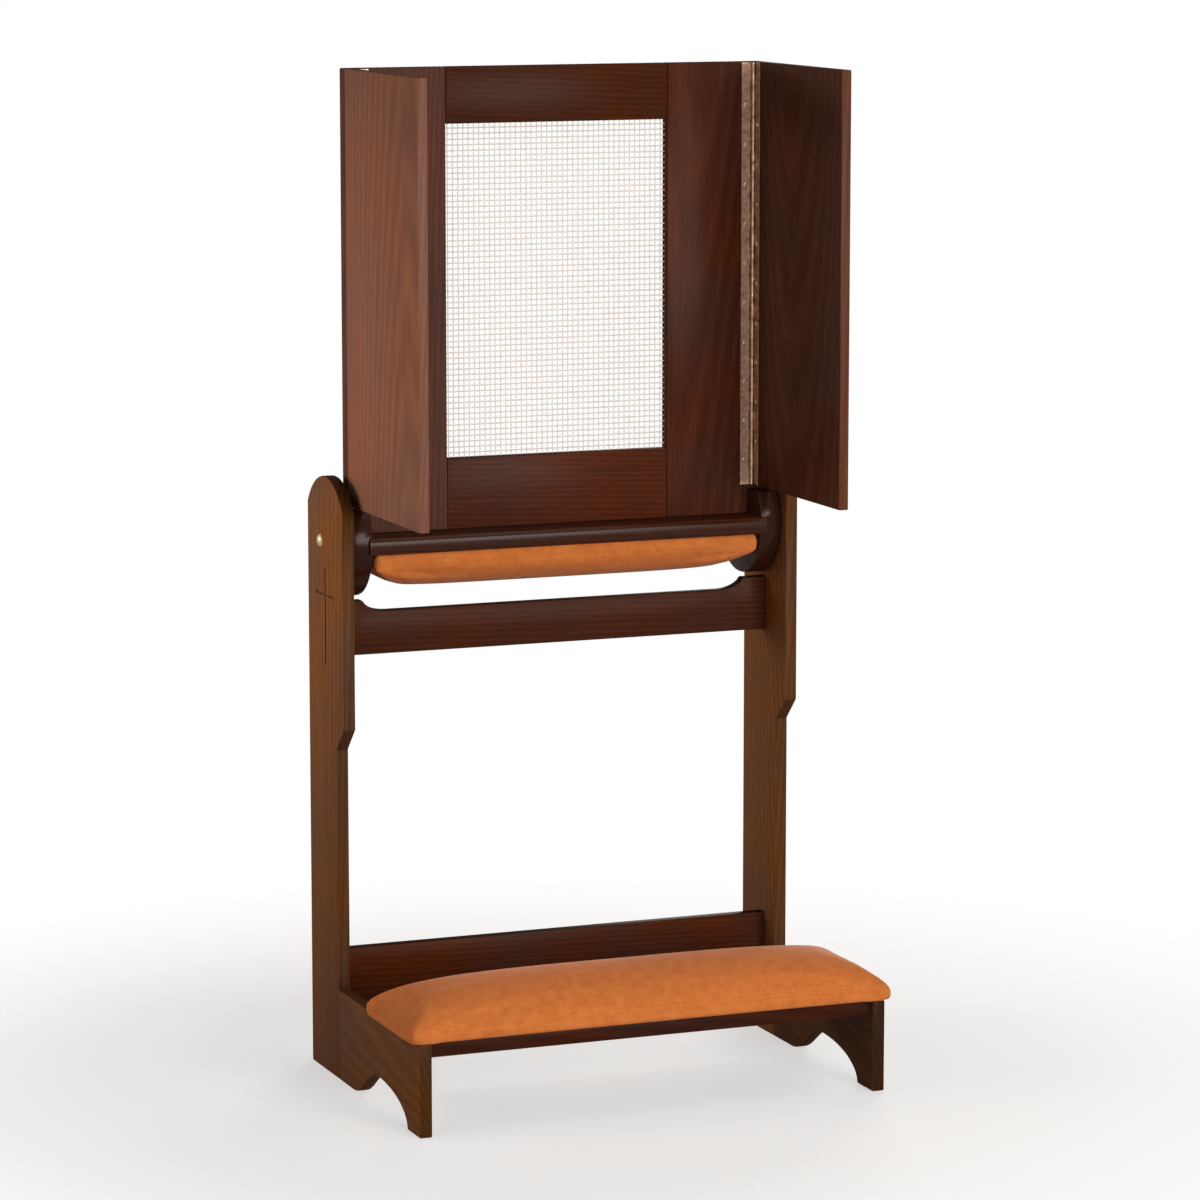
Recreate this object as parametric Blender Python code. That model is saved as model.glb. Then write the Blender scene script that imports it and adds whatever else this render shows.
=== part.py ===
"""A confessional kneeler that turns into a prayer desk.

Two uprights on low foot brackets carry a padded kneeler board and an armrest. The armrest hangs between
two round cheeks on pivot bolts, with a netted screen standing on its top and a pad on its underside.
Two wings fold on piano hinges at the screen's sides. Turned over backwards, the screen hangs down
behind the rails and the armrest's pad faces up.

Metres, +Z up, +X to the right, -Y towards the person who kneels. Depths are measured forwards from
the back edges of the uprights. The origin is on the floor, at the middle of the whole object.
"""

import math

import bmesh
import bpy
from mathutils import Matrix, Vector

# Clearances
FIT = 0.0003
RUNNING = 0.0004
SIDE_GAP = 0.002
SWING_GAP = 0.005

# Side frames, with the pivot's height as the size that the upper parts follow
PIVOT_HEIGHT = 0.684
PIVOT_DEPTH = 0.052
BOARD = 0.016
INSIDE_WIDTH = 0.587
UPRIGHT_ABOVE_PIVOT = 0.083
UPRIGHT_DEPTH = 0.136
UPRIGHT_STEP = 0.029
ARCH_RISE = 0.038
NOTCH_BELOW_PIVOT = 0.230
EASED_EDGE = 0.0015
HOUSING = 0.006

# Incised cross on the uprights
CROSS_BELOW_PIVOT = 0.033
CROSS_HEIGHT = 0.124
CROSS_ARM_DROP = 0.034
CROSS_ARM_SPAN = 0.072
CROSS_LINE = 0.0032
CROSS_CUT = 0.0012

# Foot brackets
BRACKET_HEIGHT = 0.116
BASE_DEPTH = 0.414
REAR_FOOT = 0.165
FRONT_FOOT = 0.047
FOOT_ARCH_HEIGHT = 0.040
FOOT_ARCH_APEX = 0.255
DOWEL_RADIUS = 0.004
DOWEL_DEPTH = 0.020
BRACKET_DOWEL_HEIGHTS = (0.035, 0.085)

# Rails
RAIL_FRONT = 0.072
UPPER_RAIL_HEIGHT = 0.055
RAIL_EAR_RISE = 0.0145
RAIL_EAR_WIDTH = 0.032
RAIL_COVE_WIDTH = 0.034
RAIL_COVE_TURN = math.radians(74)
RAIL_SWING_GAP = 0.0005
LOWER_RAIL_BOTTOM = 0.070
LOWER_RAIL_TOP = 0.160

# Kneeler
KNEELER_BOARD = 0.019
KNEELER_BOARD_FRONT = 0.405
KNEELER_BOARD_DEPTH = 0.168
KNEELER_PAD_OVERHANG = 0.011
KNEELER_PAD_LIP = 0.012
KNEELER_PAD_RIM = 0.018
KNEELER_PAD_CROWN = 0.060
KNEELER_PAD_CORNER = 0.010
KNEELER_PAD_END_FALL = 0.4
KNEELER_PAD_FULLNESS = 0.6

# How far a pad's side swells past its base and is drawn in between the corners, as shares of its rim
PAD_TUCK = 0.16
PAD_DRAW = 0.10

# Armrest and pivot
CHEEK = 0.028
CHEEK_RADIUS = 0.072
CHEEK_FLAT = 0.041
CHEEK_ROUNDING = 0.003
ARMREST_BOARD = 0.022
ARMREST_RISE = 0.009
ARMREST_DEPTH = 0.152
ARMREST_NOSING = 0.006
ARMREST_PAD_MARGIN = 0.004
ARMREST_PAD_END_GAP = 0.0025
ARMREST_PAD_RIM = 0.024
ARMREST_PAD_CROWN = 0.050
ARMREST_PAD_CORNER = 0.005
ARMREST_PAD_END_FALL = 0.1
ARMREST_PAD_FULLNESS = 1.0
BOLT_RADIUS = 0.005
BOLT_HEAD_RADIUS = 0.008
BOLT_HEAD_HEIGHT = 0.004
BOLT_REACH = 0.020
BUSH_WALL = 0.0016
BUSH_FLANGE_RADIUS = 0.014
INSERT_WALL = 0.002
STOP_RADIUS = 0.045
STOP_PIN_RADIUS = 0.004
STOP_PIN_SEAT = 0.010
STOP_GROOVE_DEPTH = 0.008
FLIP_ANGLE = math.pi

# Screen
SCREEN_SIDE_GAP = 0.0105
SCREEN_THICKNESS = 0.019
SCREEN_BACK = 0.062
SCREEN_HEIGHT = 0.582
SCREEN_TOP_RAIL = 0.071
SCREEN_BOTTOM_RAIL = 0.090
STILE_WIDTH = 0.133
REBATE_WIDTH = 0.012
REBATE_DEPTH = 0.009
NET_THICKNESS = 0.0012
NET_STRAND = 0.0022
NET_COLUMNS = 10
NET_ROWS = 14
BEAD_THICKNESS = 0.006
TENON_LENGTH = 0.022
TENON_THICKNESS = 0.007
TENON_SHOULDER = 0.018
SCREEN_DOWEL_SPACING = 0.220

# Wings and piano hinges
WING = 0.013
WING_MEETING_GAP = 0.002
BARREL_RADIUS = 0.003
HINGE_PIN_RADIUS = 0.0013
LEAF = 0.0012
LEAF_WIDTH = 0.015
HINGE_END_GAP = 0.001
KNUCKLE_PITCH = 0.025
KNUCKLE_GAP = 0.0006

# Places worked out from the sizes above
INNER_FACE = INSIDE_WIDTH / 2
OUTER_FACE = INNER_FACE + BOARD
UPRIGHT_LOWER_DEPTH = UPRIGHT_DEPTH - UPRIGHT_STEP
PAD_FRONT = KNEELER_BOARD_FRONT + KNEELER_PAD_LIP
ARMREST_REAR = ARMREST_DEPTH / 2 - PIVOT_DEPTH
BACK_EDGE_Y = (PAD_FRONT - ARMREST_REAR) / 2
RAIL_BACK = RAIL_FRONT - BOARD
CHEEK_OUTER = INNER_FACE - SIDE_GAP
CHEEK_INNER = CHEEK_OUTER - CHEEK
CHEEK_TOP = PIVOT_HEIGHT + CHEEK_FLAT
UPRIGHT_HEIGHT = PIVOT_HEIGHT + UPRIGHT_ABOVE_PIVOT
NOTCH_TOP = PIVOT_HEIGHT - NOTCH_BELOW_PIVOT
CROSS_TOP = PIVOT_HEIGHT - CROSS_BELOW_PIVOT
ARMREST_TOP = PIVOT_HEIGHT + ARMREST_RISE
ARMREST_UNDER = ARMREST_TOP - ARMREST_BOARD
ARMREST_SWING = math.hypot(ARMREST_DEPTH / 2, PIVOT_HEIGHT - ARMREST_UNDER - ARMREST_NOSING)
UPPER_RAIL_TOP = PIVOT_HEIGHT - ARMREST_SWING - RAIL_SWING_GAP - RAIL_EAR_RISE
UPPER_RAIL_BOTTOM = UPPER_RAIL_TOP - UPPER_RAIL_HEIGHT
SCREEN_HALF = INNER_FACE - SCREEN_SIDE_GAP
SCREEN_FRONT = SCREEN_BACK + SCREEN_THICKNESS
SCREEN_BOTTOM = ARMREST_TOP + FIT
SCREEN_TOP = ARMREST_TOP + SCREEN_HEIGHT
WINDOW_BOTTOM = ARMREST_TOP + SCREEN_BOTTOM_RAIL
WINDOW_TOP = SCREEN_TOP - SCREEN_TOP_RAIL
WINDOW_HALF = SCREEN_HALF - STILE_WIDTH
BARREL_OFFSET = BARREL_RADIUS + FIT
HINGE_X = SCREEN_HALF - WING - BARREL_OFFSET
HINGE_DEPTH = SCREEN_FRONT + BARREL_OFFSET
WING_BOTTOM = CHEEK_TOP + SWING_GAP
WING_FRONT = HINGE_DEPTH + HINGE_X - WING_MEETING_GAP / 2
BUSH_RADIUS = BOLT_RADIUS + RUNNING + BUSH_WALL
INSERT_RADIUS = BOLT_RADIUS + FIT + INSERT_WALL

# Facets
ROUND_SIDES = 20
PIN_SIDES = 10
ARCH_STEPS = 14
CHEEK_STEPS = 32
COVE_STEPS = 8
SWELL_STEPS = 5
DOME_STEPS = 6
LONG_SIDE_STEPS = 16
SHORT_SIDE_STEPS = 6
CORNER_STEPS = 3
KNUCKLE_STEPS = 9

SIDES = (("left", -1), ("right", 1))


def y_at(depth):
    """World Y of a depth measured forwards from the uprights' back edges."""
    return BACK_EDGE_Y - depth


def srgb(code):
    """Linear colour of a six-figure hex value."""
    channels = [int(code[i : i + 2], 16) / 255 for i in (0, 2, 4)]
    return [c / 12.92 if c <= 0.04045 else ((c + 0.055) / 1.055) ** 2.4 for c in channels]


def finish(name, code, roughness, metallic=0.0):
    """A material from its colour, roughness and metallic value."""
    material = bpy.data.materials.new(name)
    material.use_nodes = True
    shader = material.node_tree.nodes["Principled BSDF"]
    shader.inputs["Base Color"].default_value = (*srgb(code), 1)
    shader.inputs["Roughness"].default_value = roughness
    shader.inputs["Metallic"].default_value = metallic
    return material


def make(name, shape, material, carrier=None, edge=0.0, smooth=False):
    """An object from a bmesh, carried by an empty, with eased edges where they are asked for."""
    bmesh.ops.recalc_face_normals(shape, faces=shape.faces)
    mesh = bpy.data.meshes.new(name)
    shape.to_mesh(mesh)
    shape.free()
    if smooth:
        mesh.shade_smooth()
        mesh.set_sharp_from_angle(angle=math.radians(35))
    mesh.materials.append(material)
    piece = bpy.data.objects.new(name, mesh)
    bpy.context.collection.objects.link(piece)
    if carrier:
        piece.parent = carrier
        piece.matrix_parent_inverse = carrier.matrix_world.inverted()
    if edge:
        ease = piece.modifiers.new("eased_edges", "BEVEL")
        ease.width = edge
        ease.segments = 2
        ease.limit_method = "ANGLE"
        ease.angle_limit = math.radians(50)
    return piece


def shape_with(piece, label, tool, operation):
    """Cut or join a tool shape to a piece with a Boolean."""
    bmesh.ops.recalc_face_normals(tool, faces=tool.faces)
    mesh = bpy.data.meshes.new(label)
    tool.to_mesh(mesh)
    tool.free()
    cutter = bpy.data.objects.new(f"{piece.name}.{label}", mesh)
    bpy.context.collection.objects.link(cutter)
    cutter.hide_render = True
    cutter.display_type = "WIRE"
    boolean = piece.modifiers.new(label, "BOOLEAN")
    boolean.operation = operation
    boolean.object = cutter


def cut(piece, label, tool):
    shape_with(piece, label, tool, "DIFFERENCE")


def join(piece, label, tool):
    shape_with(piece, label, tool, "UNION")


PLACE = {
    "X": lambda a, b, c: Vector((c, a, b)),
    "Y": lambda a, b, c: Vector((a, c, b)),
    "Z": lambda a, b, c: Vector((a, b, c)),
}


def prism(outline, along, start, end):
    """A flat outline swept along one axis. It lies in YZ for X, in XZ for Y and in XY for Z."""
    place = PLACE[along]
    shape = bmesh.new()
    base = shape.faces.new([shape.verts.new(place(a, b, start)) for a, b in outline])
    swept = bmesh.ops.extrude_face_region(shape, geom=[base])
    moved = [item for item in swept["geom"] if isinstance(item, bmesh.types.BMVert)]
    bmesh.ops.translate(shape, verts=moved, vec=place(0, 0, end - start))
    return shape


def block(xs, depths, zs):
    """A box between two X values, two depths and two heights."""
    y0, y1 = sorted(y_at(d) for d in depths)
    z0, z1 = zs
    return prism([(y0, z0), (y1, z0), (y1, z1), (y0, z1)], "X", min(xs), max(xs))


def rod(start, direction, radius, length, sides=ROUND_SIDES):
    """A round bar from a point along a direction."""
    shape = bmesh.new()
    turn = Vector((0, 0, 1)).rotation_difference(Vector(direction)).to_matrix().to_4x4()
    middle = Vector(start) + Vector(direction) * length / 2
    bmesh.ops.create_cone(
        shape,
        cap_ends=True,
        segments=sides,
        radius1=radius,
        radius2=radius,
        depth=length,
        matrix=Matrix.Translation(middle) @ turn,
    )
    return shape


def turned(profile, start, direction, sides=ROUND_SIDES):
    """A closed profile of (distance along, radius) points spun about an axis."""
    shape = bmesh.new()
    loop = [shape.verts.new((radius, 0, along)) for along, radius in profile]
    edges = [shape.edges.new(pair) for pair in zip(loop, loop[1:] + loop[:1])]
    bmesh.ops.spin(
        shape,
        geom=loop + edges,
        axis=(0, 0, 1),
        cent=(0, 0, 0),
        steps=sides,
        angle=2 * math.pi,
        use_merge=True,
    )
    bmesh.ops.remove_doubles(shape, verts=shape.verts, dist=1e-6)
    turn = Vector((0, 0, 1)).rotation_difference(Vector(direction)).to_matrix().to_4x4()
    bmesh.ops.transform(shape, matrix=Matrix.Translation(start) @ turn, verts=shape.verts)
    return shape


def arc(centre, radius, first, last, steps):
    """Points on an arc, angles in radians, both ends included."""
    angles = [first + (last - first) * k / steps for k in range(steps + 1)]
    return [(centre[0] + radius * math.cos(a), centre[1] + radius * math.sin(a)) for a in angles]


def between(side, inner, outer):
    """The X span from an inner to an outer distance on the left (-1) or right (1)."""
    return sorted((side * inner, side * outer))


def upright(name, side):
    """A side board: arched top, front edge stepped back below the notch, bores and housings."""
    springing = UPRIGHT_HEIGHT - ARCH_RISE
    half = UPRIGHT_DEPTH / 2
    radius = (half**2 + ARCH_RISE**2) / (2 * ARCH_RISE)
    reach = math.asin(half / radius)
    middle = (y_at(half), UPRIGHT_HEIGHT - radius)
    top = arc(middle, radius, math.pi / 2 - reach, math.pi / 2 + reach, ARCH_STEPS)
    top[0] = (y_at(0), springing)
    top[-1] = (y_at(UPRIGHT_DEPTH), springing)
    outline = [
        (y_at(0), 0),
        *top,
        (y_at(UPRIGHT_DEPTH), NOTCH_TOP),
        (y_at(UPRIGHT_LOWER_DEPTH), NOTCH_TOP - UPRIGHT_STEP),
        (y_at(UPRIGHT_LOWER_DEPTH), 0),
    ]
    piece = make(name, prism(outline, "X", *between(side, INNER_FACE, OUTER_FACE)), walnut, edge=EASED_EDGE)
    for label, low, high in (
        ("upper_housing", UPPER_RAIL_BOTTOM, UPPER_RAIL_TOP + RAIL_EAR_RISE),
        ("lower_housing", LOWER_RAIL_BOTTOM, LOWER_RAIL_TOP),
    ):
        pocket = block(
            between(side, INNER_FACE - HOUSING, INNER_FACE + HOUSING),
            (RAIL_BACK - FIT, RAIL_FRONT + FIT),
            (low - FIT, high + FIT),
        )
        cut(piece, label, pocket)
    bush_hole = rod(
        (side * (INNER_FACE - HOUSING), y_at(PIVOT_DEPTH), PIVOT_HEIGHT),
        (side, 0, 0),
        BUSH_RADIUS + FIT,
        BOARD + 2 * HOUSING,
    )
    cut(piece, "bush_hole", bush_hole)
    stop_hole = rod(
        (side * (INNER_FACE - HOUSING), y_at(PIVOT_DEPTH + STOP_RADIUS), PIVOT_HEIGHT),
        (side, 0, 0),
        STOP_PIN_RADIUS + FIT,
        HOUSING + STOP_PIN_SEAT + FIT,
        PIN_SIDES,
    )
    cut(piece, "stop_hole", stop_hole)
    for k, height in enumerate(BRACKET_DOWEL_HEIGHTS):
        hole = rod(
            (side * (INNER_FACE + BOARD / 2), y_at(UPRIGHT_LOWER_DEPTH + HOUSING), height),
            (0, 1, 0),
            DOWEL_RADIUS + FIT,
            HOUSING + DOWEL_DEPTH,
            PIN_SIDES,
        )
        cut(piece, f"dowel_hole_{k + 1}", hole)
    cut(piece, "cross", cross_groove(side))
    return piece


def cross_groove(side):
    """The thin Latin cross that is cut into an upright's outer face."""
    y = y_at(UPRIGHT_DEPTH / 2)
    half_line = CROSS_LINE / 2
    half_arm = CROSS_ARM_SPAN / 2
    arm = CROSS_TOP - CROSS_ARM_DROP
    foot = CROSS_TOP - CROSS_HEIGHT
    outline = [
        (y - half_line, foot),
        (y + half_line, foot),
        (y + half_line, arm - half_line),
        (y + half_arm, arm - half_line),
        (y + half_arm, arm + half_line),
        (y + half_line, arm + half_line),
        (y + half_line, CROSS_TOP),
        (y - half_line, CROSS_TOP),
        (y - half_line, arm + half_line),
        (y - half_arm, arm + half_line),
        (y - half_arm, arm - half_line),
        (y - half_line, arm - half_line),
    ]
    return prism(outline, "X", *between(side, OUTER_FACE - CROSS_CUT, OUTER_FACE + CROSS_CUT))


def foot_bracket(name, side):
    """A low bracket in front of an upright, with an arch between a long rear foot and a short front foot."""
    rear_run = FOOT_ARCH_APEX - REAR_FOOT
    front_run = BASE_DEPTH - FRONT_FOOT - FOOT_ARCH_APEX
    under = []
    for k in range(ARCH_STEPS + 1):
        share = k / ARCH_STEPS
        rise = FOOT_ARCH_HEIGHT * (1 - math.cos(math.pi * share)) / 2
        under.append((y_at(REAR_FOOT + rear_run * share), rise))
    for k in range(1, ARCH_STEPS + 1):
        turn = math.pi / 2 * k / ARCH_STEPS
        run = front_run * math.sin(turn)
        under.append((y_at(FOOT_ARCH_APEX + run), FOOT_ARCH_HEIGHT * math.cos(turn)))
    under[-1] = (y_at(BASE_DEPTH - FRONT_FOOT), 0)
    rear = y_at(UPRIGHT_LOWER_DEPTH + FIT)
    outline = [
        (rear, 0),
        *under,
        (y_at(BASE_DEPTH), 0),
        (y_at(BASE_DEPTH), BRACKET_HEIGHT),
        (rear, BRACKET_HEIGHT),
    ]
    piece = make(name, prism(outline, "X", *between(side, INNER_FACE, OUTER_FACE)), walnut, edge=EASED_EDGE)
    rebate = block(
        between(side, INNER_FACE - HOUSING, INNER_FACE + HOUSING),
        (KNEELER_BOARD_FRONT - KNEELER_BOARD_DEPTH - FIT, KNEELER_BOARD_FRONT + FIT),
        (BRACKET_HEIGHT - KNEELER_BOARD - FIT, BRACKET_HEIGHT + HOUSING),
    )
    cut(piece, "board_rebate", rebate)
    for k, height in enumerate(BRACKET_DOWEL_HEIGHTS):
        start = Vector((side * (INNER_FACE + BOARD / 2), y_at(UPRIGHT_LOWER_DEPTH - HOUSING), height))
        hole = rod(start, (0, -1, 0), DOWEL_RADIUS + FIT, HOUSING + DOWEL_DEPTH, PIN_SIDES)
        cut(piece, f"dowel_hole_{k + 1}", hole)
    return piece


def bracket_dowel(name, side, height):
    start = (side * (INNER_FACE + BOARD / 2), y_at(UPRIGHT_LOWER_DEPTH - DOWEL_DEPTH + FIT), height)
    return make(name, rod(start, (0, -1, 0), DOWEL_RADIUS, 2 * DOWEL_DEPTH - 2 * FIT, PIN_SIDES), beech)


def rail_end():
    """Half length of a rail, let into the uprights."""
    return INNER_FACE + HOUSING - FIT


def sweep(share):
    """Rise of a quarter round at a share of its width."""
    return 1 - math.sqrt(1 - (math.sin(RAIL_COVE_TURN) * share) ** 2)


def upper_rail():
    """The rail below the armrest, with ends that sweep up in a cove."""
    ear_inner = INNER_FACE - RAIL_EAR_WIDTH
    cove_inner = ear_inner - RAIL_COVE_WIDTH
    right = []
    for k in range(COVE_STEPS + 1):
        share = k / COVE_STEPS
        rise = RAIL_EAR_RISE * sweep(share) / sweep(1)
        right.append((cove_inner + RAIL_COVE_WIDTH * share, UPPER_RAIL_TOP + rise))
    right.append((rail_end(), UPPER_RAIL_TOP + RAIL_EAR_RISE))
    left = [(-x, z) for x, z in reversed(right)]
    outline = [(-rail_end(), UPPER_RAIL_BOTTOM), *left, *right, (rail_end(), UPPER_RAIL_BOTTOM)]
    return make("upper_rail", prism(outline, "Y", y_at(RAIL_FRONT), y_at(RAIL_BACK)), walnut, edge=EASED_EDGE)


def lower_rail():
    shape = block((-rail_end(), rail_end()), (RAIL_BACK, RAIL_FRONT), (LOWER_RAIL_BOTTOM, LOWER_RAIL_TOP))
    return make("lower_rail", shape, walnut, edge=EASED_EDGE)


def kneeler_board():
    depths = (KNEELER_BOARD_FRONT - KNEELER_BOARD_DEPTH, KNEELER_BOARD_FRONT)
    heights = (BRACKET_HEIGHT - KNEELER_BOARD, BRACKET_HEIGHT)
    return make("kneeler_board", block((-rail_end(), rail_end()), depths, heights), walnut, edge=EASED_EDGE)


def cushion(length, width, rim, crown, corner, end_fall, fullness):
    """A pad with a flat base, swelling sides, drawn-in edges and a crown that falls off to the ends.

    A fullness below 1 makes the crown rise sooner from the edges and stay flatter in the middle.
    """
    half_length = length / 2
    half_width = width / 2
    tuck = PAD_TUCK * rim
    draw = PAD_DRAW * rim
    rings = []
    for k in range(SWELL_STEPS + 1):
        swell = math.radians(-90 + 140 * k / SWELL_STEPS)
        rings.append((tuck * (1 - math.cos(swell)), rim / 2 * (1 + math.sin(swell)), 0))
    inset, height, _ = rings[-1]
    for k in range(1, DOME_STEPS + 1):
        share = k / DOME_STEPS
        rise = (crown - height) * math.sin(math.pi / 2 * share) ** fullness
        rings.append((inset + (half_width - inset) * share, height, rise))
    shape = bmesh.new()
    loops = []
    for ring_inset, ring_height, rise in rings:
        left = 1 - ring_inset / half_width
        loop = []
        for x, y in pad_outline(half_length - ring_inset, half_width - ring_inset, corner * left, draw * left):
            fall = end_fall * (x / half_length) ** 4
            loop.append(shape.verts.new((x, y, ring_height + rise * (1 - fall))))
        loops.append(loop)
    shape.faces.new(reversed(loops[0]))
    for lower, upper in zip(loops, loops[1:]):
        for k in range(len(lower)):
            nxt = (k + 1) % len(lower)
            shape.faces.new((lower[k], lower[nxt], upper[nxt], upper[k]))
    bmesh.ops.remove_doubles(shape, verts=shape.verts, dist=1e-5)
    return shape


def pad_outline(half_length, half_width, corner, draw):
    """A rounded rectangle whose sides are drawn in between the corners, anticlockwise."""
    points = []
    along = half_length - corner
    across = half_width - corner
    corners = ((along, across, 0), (-along, across, 90), (-along, -across, 180), (along, -across, 270))
    for k, (x, y, first) in enumerate(corners):
        for step in range(CORNER_STEPS + 1):
            a = math.radians(first + 90 * step / CORNER_STEPS)
            points.append((x + corner * math.cos(a), y + corner * math.sin(a)))
        steps = LONG_SIDE_STEPS if k % 2 == 0 else SHORT_SIDE_STEPS
        a = math.radians(first + 90)
        to_x, to_y, _ = corners[(k + 1) % 4]
        pull = draw if k % 2 == 0 else draw / 2
        for step in range(1, steps):
            share = step / steps
            sag = corner - pull * 4 * share * (1 - share)
            px = x + (to_x - x) * share + sag * math.cos(a)
            py = y + (to_y - y) * share + sag * math.sin(a)
            points.append((px, py))
    return points


def kneeler_pad():
    """The kneeling pad, on the board and the brackets' tops."""
    width = PAD_FRONT - (KNEELER_BOARD_FRONT - KNEELER_BOARD_DEPTH)
    length = 2 * (OUTER_FACE + KNEELER_PAD_OVERHANG)
    shape = cushion(
        length,
        width,
        KNEELER_PAD_RIM,
        KNEELER_PAD_CROWN,
        KNEELER_PAD_CORNER,
        KNEELER_PAD_END_FALL,
        KNEELER_PAD_FULLNESS,
    )
    middle = Vector((0, y_at(PAD_FRONT - width / 2), BRACKET_HEIGHT + FIT))
    bmesh.ops.translate(shape, verts=shape.verts, vec=middle)
    return make("kneeler_pad", shape, orange_cloth, smooth=True)


def armrest_pad():
    """The armrest's pad, which hangs crown down under the board until the screen is turned over."""
    length = 2 * (CHEEK_INNER - ARMREST_PAD_END_GAP)
    width = ARMREST_DEPTH - 2 * ARMREST_PAD_MARGIN
    shape = cushion(
        length,
        width,
        ARMREST_PAD_RIM,
        ARMREST_PAD_CROWN,
        ARMREST_PAD_CORNER,
        ARMREST_PAD_END_FALL,
        ARMREST_PAD_FULLNESS,
    )
    place = Matrix.Translation((0, y_at(PIVOT_DEPTH), ARMREST_UNDER - FIT)) @ Matrix.Rotation(math.pi, 4, "X")
    bmesh.ops.transform(shape, matrix=place, verts=shape.verts)
    return make("armrest_pad", shape, orange_cloth, screen_pivot, smooth=True)


def armrest_board():
    """The armrest, with rounded front and back nosings, let into the cheeks."""
    half = ARMREST_DEPTH / 2 - ARMREST_NOSING
    low = ARMREST_UNDER + ARMREST_NOSING
    high = ARMREST_TOP - ARMREST_NOSING
    front = y_at(PIVOT_DEPTH + half)
    rear = y_at(PIVOT_DEPTH - half)
    steps = 4
    outline = [
        *arc((rear, high), ARMREST_NOSING, 0, math.pi / 2, steps),
        *arc((front, high), ARMREST_NOSING, math.pi / 2, math.pi, steps),
        *arc((front, low), ARMREST_NOSING, math.pi, 1.5 * math.pi, steps),
        *arc((rear, low), ARMREST_NOSING, 1.5 * math.pi, 2 * math.pi, steps),
    ]
    reach = CHEEK_INNER + HOUSING - FIT
    piece = make("armrest_board", prism(outline, "X", -reach, reach), walnut, screen_pivot, smooth=True)
    for side_name, side in SIDES:
        start = (side * SCREEN_DOWEL_SPACING / 2, screen_middle_y(), ARMREST_TOP + HOUSING)
        hole = rod(start, (0, 0, -1), DOWEL_RADIUS + FIT, HOUSING + dowel_in_armrest() + FIT, PIN_SIDES)
        cut(piece, f"{side_name}_dowel_hole", hole)
    return piece


def screen_middle_y():
    return y_at(SCREEN_BACK + SCREEN_THICKNESS / 2)


def dowel_in_armrest():
    """How deep a screen dowel goes into the armrest."""
    return ARMREST_BOARD * 2 / 3


def screen_dowel(name, side):
    start = (side * SCREEN_DOWEL_SPACING / 2, screen_middle_y(), ARMREST_TOP - dowel_in_armrest())
    length = dowel_in_armrest() + DOWEL_DEPTH
    return make(name, rod(start, (0, 0, 1), DOWEL_RADIUS, length, PIN_SIDES), beech, screen_pivot)


def cheek(name, side):
    """A round cheek with a flat top, bored for the bolt, with a half-round groove for the stop pin."""
    centre = (y_at(PIVOT_DEPTH), PIVOT_HEIGHT)
    reach = math.asin(CHEEK_FLAT / CHEEK_RADIUS)
    outline = arc(centre, CHEEK_RADIUS, math.pi - reach, 2 * math.pi + reach, CHEEK_STEPS)
    span = between(side, CHEEK_INNER, CHEEK_OUTER)
    piece = make(name, prism(outline, "X", *span), walnut, screen_pivot, edge=CHEEK_ROUNDING)
    insert_hole = rod(
        (side * (CHEEK_OUTER + SIDE_GAP), y_at(PIVOT_DEPTH), PIVOT_HEIGHT),
        (-side, 0, 0),
        INSERT_RADIUS + FIT,
        SIDE_GAP + BOLT_REACH + FIT,
    )
    cut(piece, "insert_hole", insert_hole)
    cut(piece, "stop_groove", stop_groove(side))
    pocket_half = ARMREST_DEPTH / 2 + FIT
    pocket = block(
        between(side, CHEEK_INNER - HOUSING, CHEEK_INNER + HOUSING),
        (PIVOT_DEPTH - pocket_half, PIVOT_DEPTH + pocket_half),
        (ARMREST_UNDER - FIT, ARMREST_TOP + FIT),
    )
    cut(piece, "armrest_housing", pocket)
    return piece


def stop_groove(side):
    """A half turn of groove below the bolt, with round ends, in the cheek's outer face."""
    centre = (y_at(PIVOT_DEPTH), PIVOT_HEIGHT)
    half = STOP_PIN_RADIUS + RUNNING
    front, back = math.pi, math.pi + FLIP_ANGLE
    ends = arc(centre, STOP_RADIUS, front, back, 1)
    outline = [
        *arc(centre, STOP_RADIUS + half, front, back, CHEEK_STEPS // 2),
        *arc(ends[1], half, back, back + math.pi, 6)[1:-1],
        *arc(centre, STOP_RADIUS - half, back, front, CHEEK_STEPS // 2),
        *arc(ends[0], half, front - math.pi, front, 6)[1:-1],
    ]
    return prism(outline, "X", *between(side, CHEEK_OUTER - STOP_GROOVE_DEPTH, CHEEK_OUTER + SIDE_GAP))


def stop_pin(name, side):
    reach = STOP_GROOVE_DEPTH - 2 * RUNNING
    start = (side * (CHEEK_OUTER - reach), y_at(PIVOT_DEPTH + STOP_RADIUS), PIVOT_HEIGHT)
    length = reach + SIDE_GAP + STOP_PIN_SEAT
    return make(name, rod(start, (side, 0, 0), STOP_PIN_RADIUS, length, PIN_SIDES), steel, smooth=True)


def pivot_bush(name, side):
    """A flanged bush in the upright, whose flange keeps the cheek off the board."""
    bore = BOLT_RADIUS + RUNNING
    flange = SIDE_GAP - 2 * FIT
    start = (side * (INNER_FACE - FIT - flange), y_at(PIVOT_DEPTH), PIVOT_HEIGHT)
    profile = [
        (0, bore),
        (0, BUSH_FLANGE_RADIUS),
        (flange, BUSH_FLANGE_RADIUS),
        (flange, BUSH_RADIUS),
        (flange + FIT + BOARD, BUSH_RADIUS),
        (flange + FIT + BOARD, bore),
    ]
    return make(name, turned(profile, start, (side, 0, 0)), nylon, smooth=True)


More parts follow.
